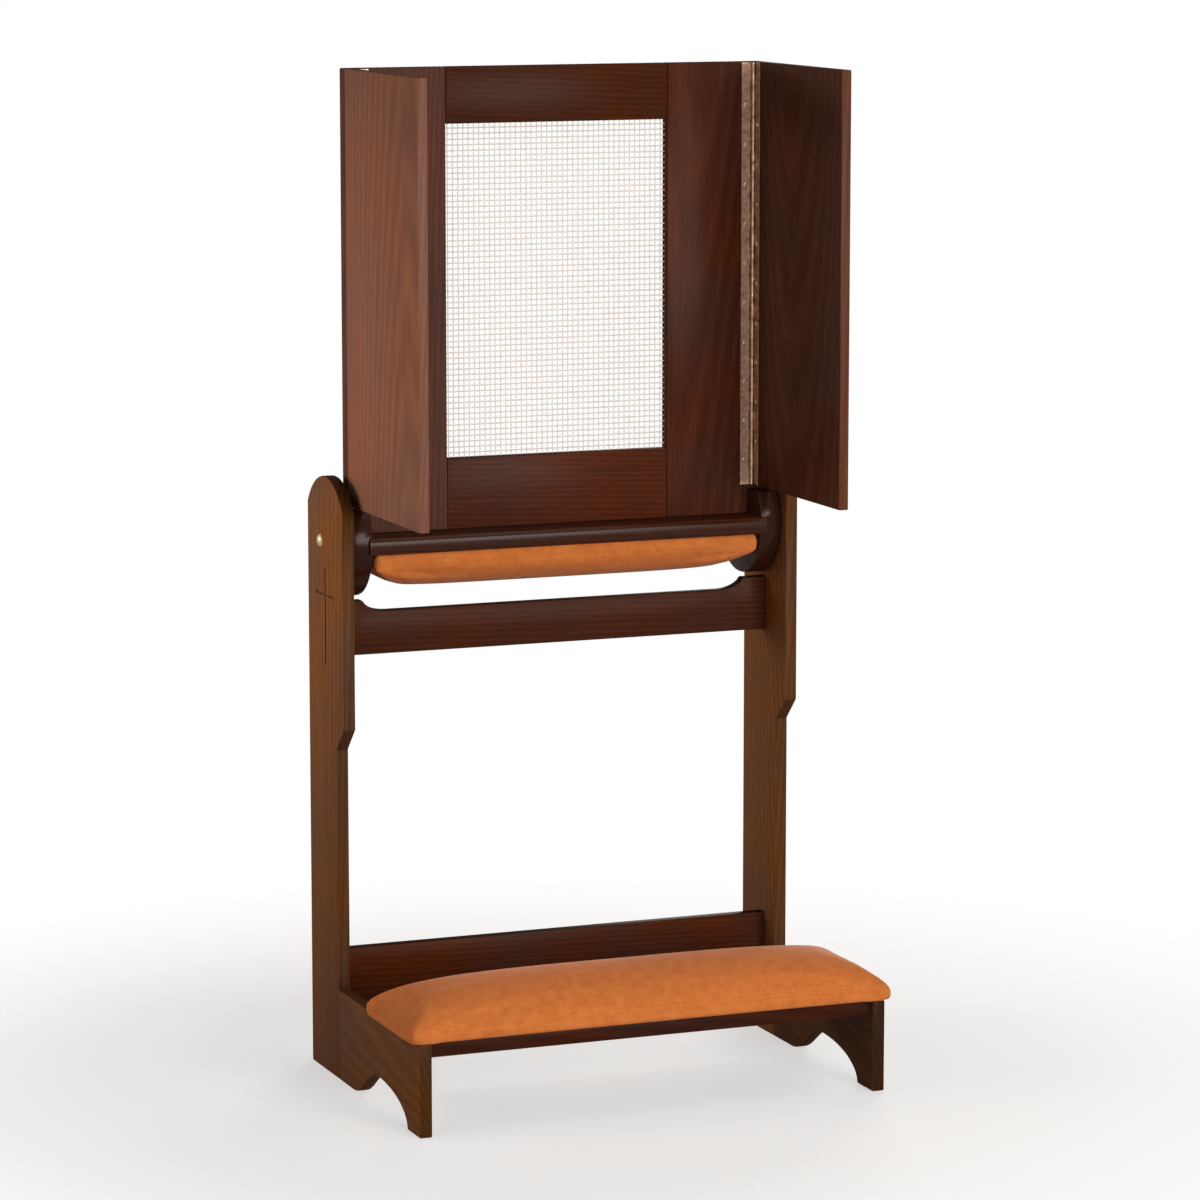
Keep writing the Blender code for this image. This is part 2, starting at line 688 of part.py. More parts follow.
def pivot_bolt(name, side):
    """A domed bolt from outside the upright, through the bush and into the cheek's insert."""
    shank_start = side * (CHEEK_OUTER - BOLT_REACH + FIT)
    shank = OUTER_FACE + FIT - (CHEEK_OUTER - BOLT_REACH + FIT)
    dome = arc((0, 0), 1, 0, math.pi / 2, 4)
    head = [(shank + BOLT_HEAD_HEIGHT * z, BOLT_HEAD_RADIUS * r) for r, z in dome]
    profile = [(0, 0), (0, BOLT_RADIUS), (shank, BOLT_RADIUS), *head[:-1], (shank + BOLT_HEAD_HEIGHT, 0)]
    start = (shank_start, y_at(PIVOT_DEPTH), PIVOT_HEIGHT)
    return make(name, turned(profile, start, (side, 0, 0)), steel, screen_pivot, smooth=True)


def pivot_insert(name, side):
    """The threaded insert that the bolt screws into."""
    start = (side * CHEEK_OUTER, y_at(PIVOT_DEPTH), PIVOT_HEIGHT)
    bore = BOLT_RADIUS + FIT
    profile = [(0, bore), (0, INSERT_RADIUS), (BOLT_REACH, INSERT_RADIUS), (BOLT_REACH, bore)]
    return make(name, turned(profile, start, (-side, 0, 0)), brass, screen_pivot, smooth=True)


def net_rebate():
    """The step round the back of the window that takes the net and its beads."""
    reach = WINDOW_HALF + REBATE_WIDTH
    depths = (SCREEN_BACK - HOUSING, SCREEN_BACK + REBATE_DEPTH)
    return block((-reach, reach), depths, (WINDOW_BOTTOM - REBATE_WIDTH, WINDOW_TOP + REBATE_WIDTH))


def stile(name, side):
    """A side member of the screen, notched at its foot to clear the round cheek."""
    outline = [
        (side * WINDOW_HALF, SCREEN_BOTTOM),
        (side * (CHEEK_INNER - FIT), SCREEN_BOTTOM),
        (side * (CHEEK_INNER - FIT), CHEEK_TOP + FIT),
        (side * SCREEN_HALF, CHEEK_TOP + FIT),
        (side * SCREEN_HALF, SCREEN_TOP),
        (side * WINDOW_HALF, SCREEN_TOP),
    ]
    shape = prism(outline, "Y", y_at(SCREEN_FRONT), y_at(SCREEN_BACK))
    piece = make(name, shape, walnut, screen_pivot, edge=EASED_EDGE)
    cut(piece, "net_rebate", net_rebate())
    for label, low, high in screen_rails():
        cut(piece, f"{label}_mortise", tenon(side, low, high, FIT))
    return piece


def screen_rails():
    return (("bottom", SCREEN_BOTTOM, WINDOW_BOTTOM), ("top", WINDOW_TOP, SCREEN_TOP))


def tenon(side, low, high, slack):
    """A rail's tenon, or with slack the mortise for it. It starts inside the rail."""
    middle = SCREEN_BACK + SCREEN_THICKNESS / 2
    half = TENON_THICKNESS / 2 + slack
    return block(
        between(side, WINDOW_HALF - TENON_SHOULDER, WINDOW_HALF + TENON_LENGTH + slack),
        (middle - half, middle + half),
        (low + TENON_SHOULDER - slack, high - TENON_SHOULDER + slack),
    )


def screen_rail(label, low, high):
    """A cross member of the screen, tenoned into the stiles."""
    reach = WINDOW_HALF - FIT
    shape = block((-reach, reach), (SCREEN_BACK, SCREEN_FRONT), (low, high))
    piece = make(f"screen_{label}_rail", shape, walnut, screen_pivot, edge=EASED_EDGE)
    cut(piece, "net_rebate", net_rebate())
    for side_name, side in SIDES:
        join(piece, f"{side_name}_tenon", tenon(side, low, high, 0))
    if label == "bottom":
        for side_name, side in SIDES:
            start = (side * SCREEN_DOWEL_SPACING / 2, screen_middle_y(), SCREEN_BOTTOM - HOUSING)
            hole = rod(start, (0, 0, 1), DOWEL_RADIUS + FIT, HOUSING + DOWEL_DEPTH, PIN_SIDES)
            cut(piece, f"{side_name}_dowel_hole", hole)
    return piece


def screen_net():
    """An open net stretched in the rebate: strands both ways, square gaps between them."""
    reach = WINDOW_HALF + REBATE_WIDTH - FIT
    low = WINDOW_BOTTOM - REBATE_WIDTH + FIT
    high = WINDOW_TOP + REBATE_WIDTH - FIT
    xs = strand_edges(-reach, reach, NET_COLUMNS)
    zs = strand_edges(low, high, NET_ROWS)
    y = y_at(SCREEN_BACK + REBATE_DEPTH - FIT)
    shape = bmesh.new()
    grid = [[shape.verts.new((x, y, z)) for x in xs] for z in zs]
    for row in range(len(zs) - 1):
        for column in range(len(xs) - 1):
            if row % 2 and column % 2:
                continue
            a, b = grid[row][column : column + 2]
            d, c = grid[row + 1][column : column + 2]
            shape.faces.new((a, b, c, d))
    swept = bmesh.ops.extrude_face_region(shape, geom=shape.faces[:])
    moved = [item for item in swept["geom"] if isinstance(item, bmesh.types.BMVert)]
    bmesh.ops.translate(shape, verts=moved, vec=(0, NET_THICKNESS, 0))
    return make("screen_net", shape, pale_net, screen_pivot)


def strand_edges(low, high, gaps):
    """Both edges of each strand, with strands at the two ends and between the gaps."""
    pitch = (high - low - NET_STRAND) / gaps
    edges = []
    for k in range(gaps + 1):
        edges += [low + k * pitch, low + k * pitch + NET_STRAND]
    return edges


def bead_depths():
    front = SCREEN_BACK + REBATE_DEPTH - NET_THICKNESS - 2 * FIT
    return (front - BEAD_THICKNESS, front)


def net_beads():
    """Four strips that hold the net in the rebate from behind."""
    outer = WINDOW_HALF + REBATE_WIDTH - FIT
    low = WINDOW_BOTTOM - REBATE_WIDTH + FIT
    high = WINDOW_TOP + REBATE_WIDTH - FIT
    wide = REBATE_WIDTH - 2 * FIT
    for name, zs in (("bottom", (low, low + wide)), ("top", (high - wide, high))):
        make(f"net_bead_{name}", block((-outer, outer), bead_depths(), zs), walnut, screen_pivot)
    zs = (low + wide + FIT, high - wide - FIT)
    for name, side in SIDES:
        xs = between(side, outer - wide, outer)
        make(f"net_bead_{name}", block(xs, bead_depths(), zs), walnut, screen_pivot)


def wing(name, side, carrier):
    """A folding wing, standing square to the screen with its back edge against the screen's face."""
    inner = HINGE_X + BARREL_OFFSET
    shape = block(between(side, inner, inner + WING), (SCREEN_FRONT + FIT, WING_FRONT), (WING_BOTTOM, SCREEN_TOP))
    return make(name, shape, walnut, carrier, edge=EASED_EDGE)


def knuckle_edges():
    """Heights of the knuckles' ends along a hinge, for an odd number of knuckles."""
    low = WING_BOTTOM + HINGE_END_GAP
    high = SCREEN_TOP - HINGE_END_GAP
    count = 2 * round((high - low) / KNUCKLE_PITCH / 2) + 1
    return [low + (high - low) * k / count for k in range(count + 1)]


def hinge_leaf(name, carrier, place, first):
    """A leaf of a piano hinge: a strip whose tabs are rolled round the pin at every other knuckle.

    The section is drawn with the pin at the origin, the leaf along -u and the face it lies on at -v.
    place turns (u, v) into world X and Y. first is 0 or 1, the first knuckle that this leaf owns.
    """
    outer = BARREL_RADIUS
    inner = HINGE_PIN_RADIUS + RUNNING
    near = -BARREL_RADIUS - RUNNING
    low, high = -BARREL_RADIUS, -BARREL_RADIUS + LEAF
    plate = [(-LEAF_WIDTH, low), (near, low), (near, high), (-LEAF_WIDTH, high)]
    start = -math.pi / 2
    close = start + math.radians(300)
    curl = arc((0, 0), outer, start, close, KNUCKLE_STEPS)
    curl += arc((0, 0), inner, close, start - math.radians(12), KNUCKLE_STEPS)
    edges = knuckle_edges()
    heights = [edges[0]]
    for k, (bottom, top) in enumerate(zip(edges, edges[1:])):
        if k % 2 == first:
            heights += [bottom + KNUCKLE_GAP / 2, top - KNUCKLE_GAP / 2]
    heights.append(edges[-1])
    shape = bmesh.new()
    sections = [[shape.verts.new((*place(u, v), z)) for u, v in plate] for z in heights]
    for k in range(len(heights) - 1):
        a0, b0, c0, d0 = sections[k]
        a1, b1, c1, d1 = sections[k + 1]
        for quad in ((a0, b0, b1, a1), (c0, d0, d1, c1), (d0, a0, a1, d1)):
            shape.faces.new(quad)
        if k % 2 == 0:
            shape.faces.new((b0, c0, c1, b1))
            continue
        ends = []
        for z, b, c in ((heights[k], b0, c0), (heights[k + 1], b1, c1)):
            ends.append([b, *(shape.verts.new((*place(u, v), z)) for u, v in curl), c])
        for p in range(len(ends[0]) - 1):
            shape.faces.new((ends[0][p], ends[0][p + 1], ends[1][p + 1], ends[1][p]))
        for end in ends:
            shape.faces.new(end)
    shape.faces.new(sections[0])
    shape.faces.new(sections[-1])
    return make(name, shape, antique_brass, carrier)


def hinge(label, side, carrier):
    """Both leaves of one piano hinge and the pin in them."""
    x0, y0 = side * HINGE_X, y_at(HINGE_DEPTH)
    on_screen = lambda u, v: (x0 + side * u, y0 - v)
    on_wing = lambda u, v: (x0 - side * v, y0 + u)
    hinge_leaf(f"{label}_hinge_screen_leaf", screen_pivot, on_screen, 0)
    hinge_leaf(f"{label}_hinge_wing_leaf", carrier, on_wing, 1)
    low, high = knuckle_edges()[0], knuckle_edges()[-1]
    pin = rod((x0, y0, low), (0, 0, 1), HINGE_PIN_RADIUS, high - low, PIN_SIDES)
    make(f"{label}_hinge_pin", pin, antique_brass, screen_pivot, smooth=True)


def axis_empty(name, place, carrier=None):
    """An empty on a joint's axis, which carries what turns there."""
    empty = bpy.data.objects.new(name, None)
    bpy.context.collection.objects.link(empty)
    empty.location = place
    bpy.context.view_layer.update()
    if carrier:
        empty.parent = carrier
        empty.matrix_parent_inverse = carrier.matrix_world.inverted()
        bpy.context.view_layer.update()
    return empty


for leftover in list(bpy.data.objects):
    bpy.data.objects.remove(leftover, do_unlink=True)

walnut = finish("stained_walnut", "4A281C", 0.32)
beech = finish("beech_dowel", "C9A676", 0.6)
orange_cloth = finish("orange_upholstery", "C67239", 0.85)
pale_net = finish("pale_net", "E9E4DC", 0.8)
antique_brass = finish("antique_brass", "7A5B3C", 0.4, 1.0)
brass = finish("brass", "B08D4E", 0.35, 1.0)
steel = finish("plated_steel", "B9B2A6", 0.3, 1.0)
nylon = finish("nylon", "D8D4CA", 0.5)

screen_pivot = axis_empty("screen_pivot", (0, y_at(PIVOT_DEPTH), PIVOT_HEIGHT))

for side_name, side in SIDES:
    upright(f"{side_name}_upright", side)
    foot_bracket(f"{side_name}_foot_bracket", side)
    for k, height in enumerate(BRACKET_DOWEL_HEIGHTS):
        bracket_dowel(f"{side_name}_bracket_dowel_{k + 1}", side, height)
    pivot_bush(f"{side_name}_pivot_bush", side)
    stop_pin(f"{side_name}_stop_pin", side)
upper_rail()
lower_rail()
kneeler_board()
kneeler_pad()

armrest_board()
armrest_pad()
for side_name, side in SIDES:
    cheek(f"{side_name}_cheek", side)
    pivot_bolt(f"{side_name}_pivot_bolt", side)
    pivot_insert(f"{side_name}_pivot_insert", side)
    stile(f"screen_{side_name}_stile", side)
    screen_dowel(f"screen_dowel_{side_name}", side)
for rail_label, rail_low, rail_high in screen_rails():
    screen_rail(rail_label, rail_low, rail_high)
screen_net()
net_beads()

for side_name, side in SIDES:
    wing_hinge = axis_empty(f"{side_name}_wing_hinge", (side * HINGE_X, y_at(HINGE_DEPTH), WING_BOTTOM), screen_pivot)
    wing(f"{side_name}_wing", side, wing_hinge)
    hinge(side_name, side, wing_hinge)
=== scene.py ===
# %% [markdown]
# # Dressing a confessional kneeler
# The solids of this kneeler are already made: boards, hinges, bolts and plain pads. This lesson turns
# them into a picture. It gives the wood its stain and varnish, sews new pads, weaves the net and puts
# the screws into the hinges.

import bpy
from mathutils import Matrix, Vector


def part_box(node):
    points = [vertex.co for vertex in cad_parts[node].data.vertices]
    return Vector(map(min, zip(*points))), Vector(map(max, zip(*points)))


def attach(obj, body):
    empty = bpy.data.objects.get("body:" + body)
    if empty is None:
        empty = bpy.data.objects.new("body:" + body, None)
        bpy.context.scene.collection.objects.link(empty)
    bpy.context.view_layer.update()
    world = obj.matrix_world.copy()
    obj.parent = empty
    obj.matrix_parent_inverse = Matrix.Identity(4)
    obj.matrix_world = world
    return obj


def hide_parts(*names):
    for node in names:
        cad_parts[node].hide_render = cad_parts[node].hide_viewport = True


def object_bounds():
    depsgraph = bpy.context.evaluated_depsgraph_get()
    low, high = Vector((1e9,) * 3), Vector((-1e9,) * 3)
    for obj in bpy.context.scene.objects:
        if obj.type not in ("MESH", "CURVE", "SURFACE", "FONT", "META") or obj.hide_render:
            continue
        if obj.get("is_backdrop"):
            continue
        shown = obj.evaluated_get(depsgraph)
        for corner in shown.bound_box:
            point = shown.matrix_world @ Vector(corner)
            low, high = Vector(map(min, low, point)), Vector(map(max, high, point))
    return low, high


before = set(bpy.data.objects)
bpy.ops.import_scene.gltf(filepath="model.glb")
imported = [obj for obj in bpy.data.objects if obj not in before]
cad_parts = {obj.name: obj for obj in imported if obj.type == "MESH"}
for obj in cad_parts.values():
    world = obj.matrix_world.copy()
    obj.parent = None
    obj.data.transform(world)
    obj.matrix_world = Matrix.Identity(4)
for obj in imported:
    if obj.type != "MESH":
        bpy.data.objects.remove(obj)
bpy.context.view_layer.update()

# %% [markdown]
# The rest needs Blender's own modules and NumPy for the cloth. Lengths below are written in millimetres and
# turned to metres, and the Standard view shows each colour as it is.

# %% The rest of the tools
import math

import bmesh
import bpy
import numpy as np
from mathutils import Matrix, Vector

MM = 0.001
scene = bpy.context.scene
scene.view_settings.view_transform = "Standard"
print("view:", scene.view_settings.view_transform)

# %% [markdown]
# ## The camera
# A catalogue photograph is taken from far off with a long lens, so that upright edges stay upright.
# The viewing angle was worked out from the object's straight edges: about 22 degrees to the left and
# 9 degrees above. The picture is square, so the lens follows from its width in pixels and on the sensor.

# %% Place the camera
VIEW_LEFT, VIEW_UP = math.radians(21.69), math.radians(8.91)
VIEW_DISTANCE = 5.945
AIM = Vector((0, -0.0285, 0.615))
FOCAL_PIXELS, PICTURE_PIXELS, SENSOR_MM = 4753, 1200, 36

camera_data = bpy.data.cameras.new("camera")
camera_data.sensor_width = SENSOR_MM
camera_data.lens = SENSOR_MM * FOCAL_PIXELS / PICTURE_PIXELS
camera = bpy.data.objects.new("camera", camera_data)
scene.collection.objects.link(camera)
away = Vector(
    (
        -math.sin(VIEW_LEFT) * math.cos(VIEW_UP),
        -math.cos(VIEW_LEFT) * math.cos(VIEW_UP),
        math.sin(VIEW_UP),
    )
)
camera.location = AIM + away * VIEW_DISTANCE
camera.rotation_euler = (-away).to_track_quat("-Z", "Y").to_euler()
scene.camera = camera
print("lens", round(camera_data.lens, 1), "mm at", [round(v, 3) for v in camera.location])

# %% [markdown]
# ## Small helpers for materials
# Colours are picked as sRGB hex values, which is how they look on a screen. Shaders work in linear
# light, so one function converts them. A second function adds a node, gives it its settings, and fills
# or links its inputs, so that each material below reads as a short recipe. A third starts a material and
# finds the place on the object, in metres, that textures are drawn from. In a remap node, inputs 1 and 2
# are the span it reads, and 3 and 4 the span it gives.

# %% Colour and node helpers
MATH, VECTOR, MIX = "ShaderNodeMath", "ShaderNodeVectorMath", "ShaderNodeMix"
NOISE, WAVE, RAMP = "ShaderNodeTexNoise", "ShaderNodeTexWave", "ShaderNodeValToRGB"
REMAP, BUMP = "ShaderNodeMapRange", "ShaderNodeBump"


def srgb(code):
    channels = [int(code[i : i + 2], 16) / 255 for i in (0, 2, 4)]
    return [c / 12.92 if c <= 0.04045 else ((c + 0.055) / 1.055) ** 2.4 for c in channels] + [1]


def add(tree, kind, inputs=None, **settings):
    node = tree.nodes.new(kind)
    for key, value in settings.items():
        setattr(node, key, value)
    for key, value in (inputs or {}).items():
        if isinstance(value, bpy.types.NodeSocket):
            tree.links.new(value, node.inputs[key])
        else:
            node.inputs[key].default_value = value
    return node


def blank(name):
    material = bpy.data.materials.new(name)
    material.use_nodes = True
    tree = material.node_tree
    place = add(tree, "ShaderNodeTexCoord").outputs["Object"]
    return material, tree, tree.nodes["Principled BSDF"], place


print("a mid brown in linear light:", [round(c, 3) for c in srgb("4A271B")[:3]])

# %% [markdown]
# ## Stained walnut under varnish
# The boards are walnut, planed, stained dark and varnished. The eye sees three sizes of figure: growth
# rings several millimetres wide, which run in long arches because the saw cut the log at a slant;
# fibre streaks; and short dark pores. Pores are really a quarter of a millimetre wide, which is less
# than a pixel here, so they are drawn about a millimetre wide. Every board gets its own place in the
# log, so that no two are alike.

# %% The figure of a walnut board
RING, STREAK, PORE = 7 * MM, 2.2 * MM, 1.1 * MM
STREAK_LONG, PORE_LONG = 160 * MM, 24 * MM
CLOUD = 1000 / 7 * MM  # seven clouds of stain to the metre
RINGS_DRAWN_OUT = (1, 1, 0.12)
GRAIN_TURN = {"X": (0, math.radians(-90), 0), "Y": (math.radians(90), 0, 0), "Z": (0, 0, 0)}
SAW_SLANT = (math.radians(2.2), math.radians(-3.1), 0)
WAVE_UNIT = 2 * math.pi / 20  # the length after which a wave texture of scale 1 repeats


def walnut_figure(tree, place, grain, shift):
    turned = {"Vector": place, "Rotation": GRAIN_TURN[grain], "Location": shift}
    board = add(tree, "ShaderNodeMapping", turned).outputs[0]
    log = add(tree, "ShaderNodeMapping", {"Vector": board, "Rotation": SAW_SLANT}).outputs[0]
    drawn = add(tree, VECTOR, {0: log, 1: RINGS_DRAWN_OUT}, operation="MULTIPLY").outputs[0]
    wavy = {"Scale": WAVE_UNIT / RING, "Distortion": 6, "Detail": 3, "Detail Scale": 0.3}
    rings = add(tree, WAVE, {"Vector": drawn, **wavy}, wave_type="RINGS", rings_direction="Z")
    streak_size = (1 / STREAK, 1 / STREAK, 1 / STREAK_LONG)
    fibre = add(tree, VECTOR, {0: board, 1: streak_size}, operation="MULTIPLY").outputs[0]
    streaks = add(tree, NOISE, {"Vector": fibre, "Scale": 1, "Detail": 5, "Roughness": 0.6})
    pore_size = (1 / PORE, 1 / PORE, 1 / PORE_LONG)
    holes = add(tree, VECTOR, {0: board, 1: pore_size}, operation="MULTIPLY").outputs[0]
    pores = add(tree, NOISE, {"Vector": holes, "Scale": 1, "Detail": 2})
    clouds = add(tree, NOISE, {"Vector": board, "Scale": 1 / CLOUD, "Detail": 3})
    return [texture.outputs["Fac"] for texture in (rings, streaks, pores, clouds)]


print("growth rings drawn", RING / MM, "mm apart")

# %% [markdown]
# Stain takes unevenly. Rings, streaks and large clouds move the colour between three tones of one stain,
# the pores hold a darker drop of it, and the paler clouds are a little redder. The end grain drinks a lot
# of it. A board's edges are coloured darker than its faces, and that is painted shade.

# %% How the stain takes
RING_SHARE, STREAK_SHARE, CLOUD_SHARE = 0.12, 0.42, 0.5
DARK_STOP, MIDDLE_STOP, LIGHT_STOP = 0.30, 0.52, 0.74
PORE_STAIN, PORE_SHARE = "24120A", 0.3
PORE_EDGE, PORE_HEART = 0.56, 0.72
DARK_CLOUD, PALE_CLOUD = 0.35, 0.65
LEAST_RED, MOST_RED = 0.9, 1.08
END_GRAIN_TONE = 0.65
GRAIN_WAY = {"X": (1, 0, 0), "Y": (0, 1, 0), "Z": (0, 0, 1)}
SIDE_ON, FACE_ON = 0.4, 0.9


def take_stain(tree, rings, streaks, pores, clouds, dark, middle, light):
    figure = add(tree, MATH, {0: rings, 1: RING_SHARE}, operation="MULTIPLY").outputs[0]
    for texture, share in ((streaks, STREAK_SHARE), (clouds, CLOUD_SHARE)):
        figure = add(tree, MATH, {0: texture, 1: share, 2: figure}, operation="MULTIPLY_ADD").outputs[0]
    stain = add(tree, RAMP, {"Fac": figure})
    tones = stain.color_ramp.elements
    tones[0].position, tones[0].color = DARK_STOP, srgb(dark)
    tones[1].position, tones[1].color = LIGHT_STOP, srgb(light)
    tones.new(MIDDLE_STOP).color = srgb(middle)
    drops = add(tree, REMAP, {"Value": pores, 1: PORE_EDGE, 2: PORE_HEART, 3: 0.0, 4: PORE_SHARE})
    dotted = {"Factor": drops.outputs[0], "A": stain.outputs["Color"], "B": srgb(PORE_STAIN)}
    colour = add(tree, MIX, dotted, data_type="RGBA").outputs["Result"]
    redness = add(tree, REMAP, {"Value": clouds, 1: DARK_CLOUD, 2: PALE_CLOUD, 3: LEAST_RED, 4: MOST_RED})
    tinted = {"Color": colour, "Saturation": redness.outputs[0]}
    return add(tree, "ShaderNodeHueSaturation", tinted).outputs[0]


# Painted shade: a board's edges, the faces across its thin way, are coloured darker than its faces. The end
# grain's darker tone is the stain's own.
def paint_edge_shade_and_end_grain(tree, colour, normal, thin_way, grain, edge_shade_tone):
    tones = []
    for way, side_tone, face_tone in ((thin_way, edge_shade_tone, 1.0), (GRAIN_WAY[grain], 1.0, END_GRAIN_TONE)):
        facing = add(tree, VECTOR, {0: normal, 1: way}, operation="DOT_PRODUCT").outputs["Value"]
        square = add(tree, MATH, {0: facing}, operation="ABSOLUTE").outputs[0]
        tone = add(tree, REMAP, {"Value": square, 1: SIDE_ON, 2: FACE_ON, 3: side_tone, 4: face_tone})
        tones.append(tone.outputs[0])
    tone = add(tree, MATH, {0: tones[0], 1: tones[1]}, operation="MULTIPLY").outputs[0]
    return add(tree, VECTOR, {0: colour, "Scale": tone}, operation="SCALE").outputs[0]


print("the end grain keeps", END_GRAIN_TONE, "of the light that a face gives back")

# %% [markdown]
# Years of use show along the arrises, where hands and cloths rub the stain thin, in patches. Cuts and inner
# corners get painted shade: the colour is darkened by how enclosed each spot is, which is what makes the
# incised crosses easy to read.

# %% Wear along the arrises and painted shade in cuts
RUBBED_WIDTH, RUBBED_SHARE, BARE_WALNUT = 2 * MM, 0.3, "8A5E3C"
FLAT_FROM, ROUND_TO = 0.995, 0.85  # a softened normal agrees by 1 with a flat face, by less at an arris
# The reach, strength and colour of the painted shade in cuts and inner corners.
SHADE_REACH, CUT_SHADE_SHARE, PAINTED_CUT_SHADE = 6 * MM, 1.5, "150A06"


def wear_and_cut_shade(tree, colour, streaks):
    arris = add(tree, "ShaderNodeBevel", {"Radius": RUBBED_WIDTH}, samples=6).outputs[0]
    flat = add(tree, "ShaderNodeNewGeometry").outputs["Normal"]
    turned = add(tree, VECTOR, {0: arris, 1: flat}, operation="DOT_PRODUCT").outputs["Value"]
    edge = add(tree, REMAP, {"Value": turned, 1: FLAT_FROM, 2: ROUND_TO, 3: 0.0, 4: RUBBED_SHARE})
    patchy = add(tree, MATH, {0: edge.outputs[0], 1: streaks}, operation="MULTIPLY").outputs[0]
    bare = {"Factor": patchy, "A": colour, "B": srgb(BARE_WALNUT)}
    rubbed = add(tree, MIX, bare, data_type="RGBA").outputs["Result"]
    # Painted shade: ambient occlusion darkens the colour in cuts and inner corners.
    openness = add(tree, "ShaderNodeAmbientOcclusion", {"Distance": SHADE_REACH}, samples=8, only_local=True)
    enclosed_shade = add(tree, REMAP, {"Value": openness.outputs["AO"], 1: 1.0, 2: 0.0, 3: 0.0, 4: CUT_SHADE_SHARE})
    painted_shade = {"Factor": enclosed_shade.outputs[0], "A": rubbed, "B": srgb(PAINTED_CUT_SHADE)}
    return add(tree, MIX, painted_shade, data_type="RGBA").outputs["Result"]


print("arrises rubbed over", RUBBED_WIDTH / MM, "mm, cuts darkened over", SHADE_REACH / MM, "mm")

# %% [markdown]
# The varnish fills the pores, so the bump is slight and the shine is soft. Its gloss is a thin coat over
# the stain: the wood below gets no shine of its own, which would veil the dark colour at low angles.

# %% A recipe for one walnut board
PORE_DEPTH, PORE_BUMP = 0.25 * MM, 0.25
SMOOTHEST, ROUGHEST = 0.30, 0.44


def stained_walnut(name, grain, shift, gloss, thin_way, edge_shade_tone, stain):
    material, tree, shader, place = blank(name)
    rings, streaks, pores, clouds = walnut_figure(tree, place, grain, shift)
    colour = take_stain(tree, rings, streaks, pores, clouds, *stain)
    colour = paint_edge_shade_and_end_grain(tree, colour, place.node.outputs["Normal"], thin_way, grain, edge_shade_tone)
    tree.links.new(wear_and_cut_shade(tree, colour, streaks), shader.inputs["Base Color"])
    shine = add(tree, REMAP, {"Value": streaks, 1: 0.3, 2: 0.75, 3: SMOOTHEST, 4: ROUGHEST})
    tree.links.new(shine.outputs[0], shader.inputs["Roughness"])
    relief = add(tree, BUMP, {"Height": pores, "Strength": PORE_BUMP, "Distance": PORE_DEPTH}, invert=True)
    tree.links.new(relief.outputs[0], shader.inputs["Normal"])
    shader.inputs["Specular IOR Level"].default_value = 0
    shader.inputs["Coat Weight"].default_value, shader.inputs["Coat Roughness"].default_value = gloss
    return material


print("pores", PORE_DEPTH / MM, "mm deep under the varnish")

# %% [markdown]
# The frame's boards are a yellower brown than the screen's, the rails are the darkest and the wings are
# paler, as if they came from other batches, so the recipe is used with several sets of stain colours. Some
# sets are painted light and shade: the left wing and the screen's left stile have paler copies, as if lit,
# and the right wing and the right foot bracket have darker ones, as if in shade. The grain follows each
# board's length, and a board's thin way tells its faces from its edges. Most boards have a satin varnish,
# and the armrest and its cheeks, which hands touch, a glossier one.

# %% Give every board its walnut
FRAME_STAIN = ("5C3A20", "70482A", "885A37")
# Painted shade: a darker copy of the frame's stain for the right foot bracket, as if in shade.
SHADED_BRACKET_STAIN = ("4A2C1A", "5A3821", "6D462B")
RAIL_STAIN = ("361A0E", "442214", "552C1A")
SCREEN_STAIN = ("3B1E14", "4A271B", "5C3222")
# Painted light: a paler copy of the screen's stain for its left stile, as if lit.
LIT_STILE_STAIN = ("462B25", "54362E", "654339")
# Painted light and shade: the wings are one wood, the left one's stain paler as if lit and the right one's
# darker as if in shade.
LIT_LEFT_WING_STAIN = ("6C4636", "7E5443", "90644F")
SHADED_RIGHT_WING_STAIN = ("4F3023", "5F3A2C", "724837")
